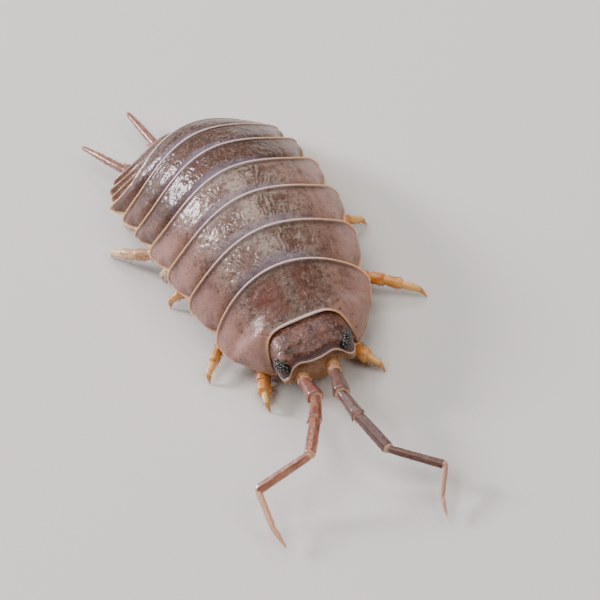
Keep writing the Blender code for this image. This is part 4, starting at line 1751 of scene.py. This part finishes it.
@dataclass
class Limb:
    """A limb of several articles, each sunk into the flared end of the one before it."""

    name: str
    articles: Sequence[Article]
    finish: Material
    sides: int = 40
    steps: int = 40
    rounding: float = 0.30
    grain: float = 0.010

    @staticmethod
    def directions(way: Array) -> tuple[Array, Array]:
        """Two directions square to a limb's way.

        Args:
            way: the unit vector along the limb.

        Returns:
            The two directions, the first one level.
        """
        level = np.cross(way, (0.0, 0.0, 1.0))
        if np.linalg.norm(level) < 0.1:
            level = np.array([1.0, 0.0, 0.0])
        level = unit(level)
        return level, np.cross(level, way)

    def rings(self, article: Article, number: int) -> tuple[Array, Array, Array]:
        """The rings of one article, with how joint-like and how far along each ring is.

        Args:
            article: the article's sizes.
            number: its number in the limb.

        Returns:
            The rings, the joint values and the places along in millimetres.
        """
        start, end = np.array(article.start), np.array(article.end)
        length = float(np.linalg.norm(end - start))
        way = (end - start) / length
        level, upright = self.directions(way)
        t = 0.5 - 0.5 * np.cos(np.linspace(0, math.pi, self.steps))
        radius = article.radius(t)
        ends = np.clip(np.minimum(t, 1 - t) * length / (self.rounding * radius), 0.0, 1.0)
        radius = radius * np.sqrt(1 - (1 - ends) ** 2 + 1e-4)
        angle = circle(self.sides)[None, :]
        shape = 1.0 + article.ribs * np.cos(6 * angle) * ease(0.0, 0.3, t)[:, None]
        crown = np.maximum(np.cos(2.5 * angle), 0) ** 2 * bump(0.93, 0.035, t)[:, None]
        shape = shape + 0.5 * article.teeth * crown
        across = (np.cos(angle) * radius[:, None] * shape)[..., None] * level * article.flatness
        tall = (np.sin(angle) * radius[:, None] * shape)[..., None] * upright
        forward = (article.teeth * crown * radius[:, None])[..., None] * way
        rings = start + t[:, None, None] * (end - start) + across + tall + forward
        outward = across + tall
        outward = outward / np.maximum(np.linalg.norm(outward, axis=-1, keepdims=True), 1e-9)
        grain = Grain(31 + number).layered(rings.reshape(-1, 3) * 7.0 + 40.0, 2)
        rings = rings + outward * (self.grain * grain.reshape(rings.shape[:2]))[..., None]
        joint = np.maximum(ease(0.08, 0.01, t), ease(0.94, 0.98, t))
        return rings, joint, t * length

    def build(self, slot: Slot, *nodes: str) -> None:
        """Build the whole limb as one object of closed articles.

        Args:
            slot: the material slot.
            nodes: the body parts it stands for.
        """
        tubes: list[Array] = []
        values: dict[str, list[Array]] = {"joint": [], "dusk": [], "light": [], "flow": []}
        for number, article in enumerate(self.articles):
            rings, joint, along = self.rings(article, number)
            tubes.append(rings)
            rows, sides = rings.shape[:2]
            count = rows * sides + 2
            values["joint"].append(np.append(np.repeat(joint, sides), [1.0, 1.0]))
            values["dusk"].append(np.full(count, article.dusk))
            values["light"].append(np.full(count, article.light))
            turn = np.tile(np.arange(sides) / sides * 0.9, rows)
            third = np.full(rows * sides, number * 3.1)
            flow = np.stack([turn, np.repeat(along, sides), third], -1)
            values["flow"].append(np.vstack([flow, flow[0], flow[-1]]))
        joined = {key: np.concatenate(data) for key, data in values.items()}
        make_piece(self.name, closed_tubes(tubes), self.finish, slot, nodes, joined)


@dataclass(frozen=True)
class Brush:
    """The bristles of one kind of limb: how many to a millimetre, how long and how thick.

    The last number says how much they keep to the lower side, from 0 to 1.
    """

    per_mm: float
    length: float
    radius: float
    under: float = 0.0


@dataclass
class Bristles:
    """Bristles set on a limb, each with its root sunk in."""

    finish: Material
    seed: int = 5
    clear: float = 0.06
    shortest: float = 0.05
    tip_share: float = 0.15
    sunk: float = 0.93
    stray: float = 0.15

    def dress(self, name: str, articles: Sequence[Article], brush: Brush, slot: Slot) -> None:
        """Grow bristles along a limb.

        Args:
            name: the new piece's name.
            articles: the limb's articles.
            brush: the bristles' number and sizes.
            slot: the material slot.
        """
        random = np.random.default_rng(self.seed + len(name))
        spots, aims, sizes = [], [], []
        for article in articles:
            start, end = np.array(article.start), np.array(article.end)
            span = float(np.linalg.norm(end - start))
            way = (end - start) / span
            level, upright = Limb.directions(way)
            for _ in range(int(brush.per_mm * span)):
                t = random.uniform(0.15, 0.93)
                angle = random.uniform(0, 2 * math.pi)
                if random.uniform() < brush.under:
                    angle = random.normal(-0.5 * math.pi, 0.9)
                outward = math.cos(angle) * level * article.flatness + math.sin(angle) * upright
                outward = unit(outward)
                spot = start + t * (end - start) + outward * float(article.radius(t)) * self.sunk
                aim = outward * 0.75 + way * 0.65 + self.stray * random.normal(size=3)
                fall = max(-aim[2] / float(np.linalg.norm(aim)), 0.01)
                wanted = brush.length * random.uniform(0.7, 1.2)
                reach = min(wanted, (spot[2] - self.clear) / fall)
                if reach > self.shortest:
                    spots.append(spot)
                    aims.append(aim)
                    sizes.append(reach)
        mesh = bpy.data.meshes.new(name)
        mesh.from_pydata(to_metres(spots), [], [])
        aim = mesh.attributes.new("aim", "FLOAT_VECTOR", "POINT")
        aim.data.foreach_set("vector", np.array(aims, np.float32).ravel())
        size = mesh.attributes.new("size", "FLOAT", "POINT")
        size.data.foreach_set("value", np.array(sizes, np.float32))
        host = link_new(name, mesh)
        settings = {
            "Root Radius": brush.radius * MM,
            "Tip Radius": self.tip_share * brush.radius * MM,
            "Seed": self.seed,
        }
        grow(host, bristle_tree(self.finish), settings)
        settle(host, slot)


FEELER_JOINTS = {
    "right": (
        (-1.70, -9.20, 1.50),
        (-1.77, -9.82, 1.84),
        (-1.82, -10.96, 1.93),
        (-2.38, -12.06, 2.03),
        (-3.31, -13.54, 2.10),
        (-5.59, -13.01, 1.30),
        (-5.88, -14.64, 0.80),
        (-5.84, -15.51, 0.40),
    ),
    "left": (
        (-0.42, -9.40, 1.50),
        (-0.59, -10.17, 1.84),
        (-0.90, -11.42, 1.93),
        (-0.86, -12.72, 1.75),
        (-0.62, -14.60, 1.35),
        (0.82, -16.40, 0.95),
        (0.05, -17.40, 0.60),
        (-0.20, -18.20, 0.40),
    ),
}


FEELER_DUSK = {
    "right": (0.0, 0.85, 0.25, 0.1, 0.1, 0.0, 0.0),
    "left": (0.0, 0.8, 0.8, 0.95, 0.8, 0.4, 0.0),
}
FEELER_LIGHT = {
    "right": (0.0, 0.0, 0.0, 0.0, 0.1, 0.55, 0.6),
    "left": (0.0, 0.0, 0.0, 0.0, 0.0, 0.4, 0.5),
}


@dataclass
class Feelers:
    """The two antennae: stout toothed articles, a long slim one and a tapered lash of two."""

    finishes: dict[str, Material]
    base_finish: Material
    bristles: Bristles
    stoutness: tuple[tuple[str, float], ...] = (("right", 1.0), ("left", 0.9))
    radii: tuple[Curve, ...] = (
        ((0.0, 0.27), (0.6, 0.30), (1.0, 0.27)),
        ((0.0, 0.20), (0.25, 0.25), (0.70, 0.33), (0.90, 0.35), (1.0, 0.30)),
        ((0.0, 0.18), (0.20, 0.22), (0.75, 0.27), (0.92, 0.29), (1.0, 0.24)),
        ((0.0, 0.19), (0.15, 0.23), (0.60, 0.25), (0.90, 0.25), (1.0, 0.22)),
        ((0.0, 0.14), (0.10, 0.18), (0.60, 0.195), (0.92, 0.205), (1.0, 0.17)),
        ((0.0, 0.11), (0.12, 0.135), (0.60, 0.13), (0.92, 0.12), (1.0, 0.10)),
        ((0.0, 0.09), (0.20, 0.11), (0.60, 0.085), (0.90, 0.035), (1.0, 0.015)),
    )
    ribs: Series = (0.0, 0.035, 0.04, 0.035, 0.05, 0.03, 0.0)
    teeth: Series = (0.0, 0.16, 0.42, 0.12, 0.12, 0.0, 0.0)
    flatness: float = 0.94
    first_slim: int = 4
    sunk: float = 0.10
    overrun: float = 0.05
    brush: Brush = Brush(34, 0.06, 0.008)

    def articles(self, side: str) -> list[Article]:
        """The articles of one feeler.

        Args:
            side: the animal's left or right.

        Returns:
            The articles, from the face to the tip.
        """
        joints = [np.array(joint) for joint in FEELER_JOINTS[side]]
        stout = dict(self.stoutness)[side]
        rows = []
        for i, (start, end) in enumerate(zip(joints, joints[1:])):
            way = unit(end - start)
            slim = stout if i >= self.first_slim else 1.0
            rows.append(
                Article(
                    tuple(start - way * self.sunk),
                    tuple(end + way * (self.overrun if end is not joints[-1] else 0.0)),
                    tuple((t, r * slim) for t, r in self.radii[i]),
                    flatness=self.flatness,
                    ribs=self.ribs[i],
                    teeth=self.teeth[i],
                    dusk=FEELER_DUSK[side][i],
                    light=FEELER_LIGHT[side][i],
                )
            )
        return rows

    def build(self) -> None:
        """Build both feelers with their bristles."""
        for side in SIDES:
            rows = self.articles(side)
            Limb(f"feeler_{side}_base", rows[:1], self.base_finish).build(Slot.FEELERS)
            Limb(f"feeler_{side}", rows[1:], self.finishes[side], 48, 60).build(
                Slot.FEELERS, f"antenna_{side}"
            )
            self.bristles.dress(f"feeler_{side}_bristles", rows[1:], self.brush, Slot.FEELERS)


FEET = {
    "left": (
        (1.31, -9.72),
        (4.42, -7.29),
        (4.29, -2.10),
        (3.85, 0.70),
        (3.70, 3.00),
        (3.40, 4.90),
        (2.60, 6.70),
    ),
    "right": (
        (-3.30, -8.55),
        (-4.60, -5.55),
        (-4.14, -0.71),
        (-3.75, 0.90),
        (-4.91, 3.60),
        (-3.70, 4.70),
        (-3.10, 6.30),
    ),
}


@dataclass
class Legs:
    """The fourteen walking legs, each of six articles with a claw on the floor."""

    finish: Material
    pale_finish: Material
    bristles: Bristles
    root_share: float = 0.45
    belly_lift: float = 0.12
    gap: float = 0.3
    shares: Series = (0.0, 0.30, 0.47, 0.62, 0.79, 0.955)
    heights: Series = (1.00, 0.76, 0.70, 0.64, 0.50, 0.26)
    bows: Series = (0.15, 0.10, 0.12, 0.25, 0.75, 0.50, 0.35)
    first_left_bow: float = -0.35
    first_place: float = 0.62
    forward_pairs: int = 3
    stoutness: tuple[Series, ...] = (
        (1.0, 1.10, 1.20, 1.35, 0.95, 1.0),
        (1.0, 1.0, 1.0, 1.0, 1.0, 1.0),
    )
    stoops: Series = (0.80, 1.0, 1.0, 1.0, 1.0, 0.95, 0.80)
    lowest: float = 0.44
    tip: float = 0.022
    ankle: float = 0.17
    root_lift: float = 0.25
    sunk: float = 0.08
    overrun: float = 0.06
    flatness: float = 0.85
    ribs: float = 0.03
    light: Series = (0.0, 0.0, 0.0, 0.1, 0.6, 0.2)
    claw_dusk: float = 0.5
    first_brush: Brush = Brush(80, 0.20, 0.012, 0.90)
    brush: Brush = Brush(22, 0.17, 0.012, 0.6)
    radii: tuple[Curve, ...] = (
        ((0.0, 0.26), (0.6, 0.30), (1.0, 0.26)),
        ((0.0, 0.20), (0.3, 0.26), (0.8, 0.28), (1.0, 0.22)),
        ((0.0, 0.19), (0.3, 0.25), (0.8, 0.28), (1.0, 0.22)),
        ((0.0, 0.18), (0.3, 0.23), (0.8, 0.25), (1.0, 0.19)),
        ((0.0, 0.14), (0.25, 0.185), (0.75, 0.15), (1.0, 0.12)),
        ((0.0, 0.09), (0.3, 0.11), (0.75, 0.05), (1.0, 0.02)),
    )

    def joints(self, side: str, pair: int) -> list[Array]:
        """The joints of one leg, from its root under the belly to its foot.

        Args:
            side: the animal's left or right.
            pair: the leg's number, from 1 at the head end.

        Returns:
            The joints.
        """
        sign = 1 if side == "left" else -1
        before, ring = BODY.rings[pair - 1], BODY.rings[pair]
        share_along = self.first_place if pair == 1 else 0.5
        place = before.place + share_along * (ring.place - before.place)
        root_out = sign * self.root_share * ring.half_width
        root = BODY.point(place, root_out, self.belly_lift - self.gap)
        foot = np.array([*FEET[side][pair - 1], self.ankle])
        line = foot - root
        along = np.array([-line[1], line[0], 0.0])
        along = unit(along) * sign * (1 if pair <= self.forward_pairs else -1)
        joints = []
        for share, height in zip(self.shares, self.heights):
            point = root + share * line
            bow = self.first_left_bow if (side, pair) == ("left", 1) else self.bows[pair - 1]
            point = point + along * bow * math.sin(math.pi * share)
            stoop = 1.0 if share == 0.0 else self.stoops[pair - 1]
            point[2] = max(root[2] * height * stoop, self.lowest)
            joints.append(point)
        joints[0] = joints[0] + np.array([0.0, 0.0, self.root_lift])
        joints.append(np.array([*FEET[side][pair - 1], self.tip]))
        return joints

    def articles(self, side: str, pair: int) -> list[Article]:
        """The articles of one leg.

        Args:
            side: the animal's left or right.
            pair: the leg's number, from 1 at the head end.

        Returns:
            The articles, the claw last.
        """
        joints = self.joints(side, pair)
        stout = self.stoutness[0 if pair == 1 else 1]
        rows = []
        for i, (start, end) in enumerate(zip(joints, joints[1:])):
            way = unit(end - start)
            claw = end is joints[-1]
            rows.append(
                Article(
                    tuple(start - way * self.sunk),
                    tuple(end + way * (0.0 if claw else self.overrun)),
                    tuple((t, radius * stout[i]) for t, radius in self.radii[i]),
                    flatness=self.flatness,
                    ribs=0.0 if claw else self.ribs,
                    light=self.light[i],
                    dusk=self.claw_dusk if claw else 0.0,
                )
            )
        return rows

    def build(self) -> None:
        """Build all the legs with their bristles."""
        for side in SIDES:
            for pair in range(1, 8):
                rows = self.articles(side, pair)
                finish = self.finish if pair <= self.forward_pairs else self.pale_finish
                limb = Limb(f"walking_leg_{side}_{pair}", rows, finish, sides=28, steps=24)
                limb.build(Slot.LEGS, f"leg_{side}_{pair}")
                brush = self.first_brush if pair == 1 else self.brush
                self.bristles.dress(f"leg_{side}_{pair}_bristles", rows[1:5], brush, Slot.LEGS)


TAIL_JOINTS = {
    "right": ((-2.26, 6.22, 0.95), (-2.52, 6.72, 1.02), (-3.37, 9.59, 0.75)),
    "left": ((-0.50, 6.92, 0.70), (-0.80, 7.30, 0.72), (-0.98, 10.10, 0.75)),
}


@dataclass
class TailLimbs:
    """The two uropods: a stout base, a long outer branch and a short inner one."""

    finish: Material
    bristles: Bristles
    base: Curve = ((0.0, 0.24), (0.6, 0.30), (1.0, 0.27))
    rod: Curve = (
        (0.0, 0.14),
        (0.15, 0.175),
        (0.55, 0.155),
        (0.92, 0.095),
        (1.0, 0.05),
    )
    twig: Curve = ((0.0, 0.10), (0.4, 0.14), (1.0, 0.04))
    twig_root: Triple = (-0.10, -0.30, -0.12)
    twig_run: Triple = (-0.11, 1.07, -0.22)
    brush: Brush = Brush(20, 0.12, 0.010)

    def articles(self, side: str) -> list[Article]:
        """The articles of one tail limb.

        Args:
            side: the animal's left or right.

        Returns:
            The base, the outer branch and the inner one.
        """
        root, base_end, tip = (np.array(joint) for joint in TAIL_JOINTS[side])
        mirror = np.array([1.0 if side == "left" else -1.0, 1.0, 1.0])
        inner = base_end + mirror * np.array(self.twig_root)
        inner_tip = inner + mirror * np.array(self.twig_run)
        rod_root = base_end - 0.06 * (tip - base_end)
        return [
            Article(tuple(root), tuple(base_end), self.base, flatness=1.1),
            Article(tuple(rod_root), tuple(tip), self.rod, ribs=0.02),
            Article(tuple(inner), tuple(inner_tip), self.twig, light=0.3),
        ]

    def build(self) -> None:
        """Build both tail limbs."""
        for side in SIDES:
            rows = self.articles(side)
            Limb(f"tail_limb_{side}", rows, self.finish).build(Slot.FEELERS, f"uropod_{side}")
            self.bristles.dress(f"tail_limb_{side}_bristles", rows[1:], self.brush, Slot.FEELERS)


@dataclass
class Underside:
    """The belly in one skin, the gill plates and the mouthparts."""

    finish: Material
    mouth_finish: Material
    edge_share: float = 0.66
    lift: float = 0.10
    belly_bulge: float = 0.12
    gill_pairs: int = 5
    gill_length: float = 0.95
    mouth_rings: tuple[Quad, ...] = (
        (0.25, 0.70, 0.56, 0.44),
        (-0.06, 0.67, 0.60, 0.40),
        (-0.28, 0.58, 0.65, 0.35),
        (-0.46, 0.40, 0.70, 0.26),
        (-0.58, 0.20, 0.74, 0.14),
    )
    cleft: float = 0.18

    def build(self) -> None:
        """Build the belly, the gill plates and the mouthparts."""
        self.belly()
        self.gills()
        self.mouth()

    def belly(self) -> None:
        """One skin from the neck to the tail, which fills the shell from inside."""
        places = np.linspace(BODY.rings[0].place - 0.1, BODY.rings[-1].place - 0.25, 260)
        angle = circle(96)
        rows = []
        for place in places:
            ring_width = float(BODY.ring_value("half_width", place))
            height = float(BODY.ring_value("height", place))
            ends = min(1.0, (place - places[0]) / 0.5 + 0.25, (places[-1] - place) / 0.5 + 0.25)
            wave = 1.0 + 0.03 * math.cos(2 * math.pi * place / 1.6)
            half = self.edge_share * ring_width * math.sqrt(ends) * wave
            top = height * float(BODY.dome(self.edge_share)) * 0.72 - 0.2
            out = half * np.sign(np.cos(angle)) * np.abs(np.cos(angle)) ** 0.8
            bottom = self.lift - 0.06 * np.cos(2 * math.pi * place / 1.6)
            bulge = np.where(np.sin(angle) > 0, top - bottom, self.belly_bulge)
            up = bottom + bulge * np.sin(angle)
            rows.append(BODY.point(place, out, up))
        shape = closed_tube(np.array(rows))
        make_piece("belly_skin", shape, self.finish, Slot.UNDERSIDE)

    def gills(self) -> None:
        """Five overlapping pairs of gill leaves."""
        first, last = BODY.rings[THORAX_PLATES].place + 0.25, BODY.rings[-1].place - 0.55
        leaves = []
        angle = circle(40)
        for pair in range(self.gill_pairs):
            place = first + (last - first) * pair / (self.gill_pairs - 1)
            for side in (-1, 1):
                rows = []
                for share in np.linspace(0.0, 1.0, 24):
                    width = 0.95 * math.sqrt(max(1.0 - (2 * share - 0.75) ** 2 / 1.6, 0.05))
                    drop = -0.33 - 0.16 * share
                    thick = 0.11 * math.sqrt(max(1 - (2 * share - 1) ** 4, 0.01))
                    out = side * (0.44 + 0.5 * width * np.cos(angle))
                    back = self.gill_length * share + 0 * angle
                    rows.append(BODY.point(place, out, drop + thick * np.sin(angle), back))
                leaves.append(np.array(rows))
        shape = closed_tubes(leaves)
        make_piece("gill_leaves", shape, self.finish, Slot.UNDERSIDE, ["gill_plates"])

    def mouth(self) -> None:
        """The jaws and palps as one cone under the head, with a cleft along its middle."""
        place = Head.place()
        angle = circle(64)
        rows = []
        table = np.array(self.mouth_rings)
        for up in np.linspace(table[0, 0], table[-1, 0], 40):
            width, forward, half = (np.interp(-up, -table[:, 0], table[:, k]) for k in (1, 2, 3))
            cleft = 1.0 - self.cleft * bump(0.0, 0.18, np.cos(angle)) * (np.sin(angle) < 0)
            back = -forward + half * np.sin(angle) * cleft
            rows.append(BODY.point(place, width * np.cos(angle), up, back))
        shape = closed_tube(np.array(rows))
        make_piece("mouth_cone", shape, self.mouth_finish, Slot.UNDERSIDE, ["mouthparts"])


@dataclass(frozen=True)
class Lamp:
    """One square soft box, which shines on the animal. Its place is in metres."""

    name: str
    place: Triple
    size: float
    power: float
    tint: Colour


LAMPS = (
    Lamp("key", (-0.14, 0.20, 0.11), 0.060, 1.00, (1.0, 0.92, 0.99)),
    Lamp("sky", (0.03, 0.16, 0.20), 0.08, 0.12, (0.88, 0.90, 1.0)),
    Lamp("side", (0.14, 0.12, 0.19), 0.04, 0.11, (1.0, 0.97, 0.94)),
    Lamp("top", (-0.05, 0.01, 0.27), 0.25, 0.66, (1.0, 0.96, 0.92)),
    Lamp("front", (0.12, -0.16, 0.20), 0.14, 0.36, (1.0, 0.93, 0.85)),
)


@dataclass
class Studio:
    """The pale floor, the soft lights and the camera."""

    azimuth: float = -9.6
    elevation: float = 44.2
    roll: float = -23.0
    distance: float = 180.0
    pixels_per_mm: float = 25.0
    reference_pixel: tuple[float, float] = (240.2, 219.1)
    sensor: float = 36.0
    image: int = 600
    clip: tuple[float, float] = (0.005, 20.0)
    floor_half: float = 3.0
    surround: Quad = (1.0, 0.97, 0.93, 1.0)
    surround_strength: float = 0.15
    aim: Triple = (0.0, 0.0, 0.002)

    def build(self) -> None:
        """Set the floor, the lights and the camera."""
        self.floor()
        self.lights()
        self.camera()

    def floor(self) -> None:
        """A wide plain floor."""
        size = self.floor_half
        mesh = bpy.data.meshes.new("floor")
        corners = [(-size, -size, 0.0), (size, -size, 0.0), (size, size, 0.0), (-size, size, 0.0)]
        mesh.from_pydata(corners, [], [(0, 1, 2, 3)])
        mesh.materials.append(FloorFinish().material())
        link_new("floor", mesh)

    def lights(self) -> None:
        """Soft boxes round the animal and a pale surround."""
        world = bpy.data.worlds.new("surround")
        bpy.context.scene.world = world
        world.use_nodes = True
        background = world.node_tree.nodes["Background"]
        background.inputs["Color"].default_value = self.surround
        background.inputs["Strength"].default_value = self.surround_strength
        for lamp in LAMPS:
            light = bpy.data.lights.new(lamp.name, "AREA")
            light.size = lamp.size
            light.energy = lamp.power
            light.color = lamp.tint
            made = link_new(lamp.name, light)
            made.location = lamp.place
            aim = Vector(self.aim) - Vector(lamp.place)
            made.rotation_euler = aim.to_track_quat("-Z", "Y").to_euler()

    def camera(self) -> None:
        """The camera at the photo's viewing angle."""
        azimuth, elevation, roll = np.radians([self.azimuth, self.elevation, self.roll])
        back = np.array(
            [
                math.sin(azimuth) * math.cos(elevation),
                -math.cos(azimuth) * math.cos(elevation),
                math.sin(elevation),
            ]
        )
        level = np.array([math.cos(azimuth), math.sin(azimuth), 0.0])
        upright = np.cross(back, level)
        right = math.cos(roll) * level + math.sin(roll) * upright
        up = -math.sin(roll) * level + math.cos(roll) * upright
        middle = self.image / 2
        eye = np.array([*MIDDLE_PLACE, EDGE_HEIGHT]) + back * self.distance
        eye = eye + right * (middle - self.reference_pixel[0]) / self.pixels_per_mm
        eye = eye - up * (middle - self.reference_pixel[1]) / self.pixels_per_mm
        data = bpy.data.cameras.new("view")
        data.sensor_width = self.sensor
        data.lens = self.sensor * self.distance * self.pixels_per_mm / self.image
        data.clip_start, data.clip_end = self.clip
        made = link_new("view", data)
        turn = np.eye(4)
        turn[:3, 0], turn[:3, 1], turn[:3, 2], turn[:3, 3] = right, up, back, eye * MM
        made.matrix_world = Matrix(turn.tolist())
        bpy.context.scene.camera = made


LIMB_COLOURS = {
    "bristle": ((0.50, 0.38, 0.26), (0.34, 0.25, 0.16), (0.66, 0.54, 0.40)),
    "feeler_right": ((0.38, 0.140, 0.088), (0.160, 0.058, 0.040), (0.74, 0.42, 0.26)),
    "feeler_left": ((0.34, 0.155, 0.105), (0.090, 0.040, 0.034), (0.72, 0.44, 0.31)),
    "leg": ((0.66, 0.25, 0.045), (0.44, 0.14, 0.022), (0.84, 0.52, 0.19)),
    "face": ((0.42, 0.20, 0.085), (0.24, 0.10, 0.04), (0.60, 0.38, 0.20)),
    "pale_leg": ((0.64, 0.36, 0.19), (0.46, 0.23, 0.11), (0.84, 0.62, 0.42)),
    "tail_limb": ((0.31, 0.138, 0.088), (0.19, 0.084, 0.060), (0.60, 0.37, 0.20)),
}


def main() -> None:
    """Build every piece in order."""
    logging.basicConfig(level=logging.INFO, format="%(name)s: %(message)s")
    shell = ShellFinish().material()
    softer = Gloss(0.50, coat=0.45, coat_roughness=0.26, coat_ior=1.30, specular=0.15, flesh=0.02)
    ShellPlates(shell, ShellFinish("first_plate_finish", gloss=softer).material()).build()
    Telson(shell).build()
    Head(HeadFinish().material()).build()
    lenses = EyeFinish(
        "lens_finish",
        lens=(0.028, 0.024, 0.026),
        ground=(0.010, 0.008, 0.008),
        gloss=Gloss(0.25, ior=1.70),
    )
    Eyes(EyeFinish().material(), lenses.material()).build()
    limbs = {
        name: LimbFinish(f"{name}_finish", *colours).material()
        for name, colours in LIMB_COLOURS.items()
    }
    bristles = Bristles(limbs["bristle"])
    feelers = {side: limbs[f"feeler_{side}"] for side in SIDES}
    Feelers(feelers, limbs["face"], bristles).build()
    Legs(limbs["leg"], limbs["pale_leg"], bristles).build()
    TailLimbs(limbs["tail_limb"], bristles).build()
    Underside(BellyFinish().material(), limbs["face"]).build()
    Studio().build()


if __name__ == "__main__":
    main()
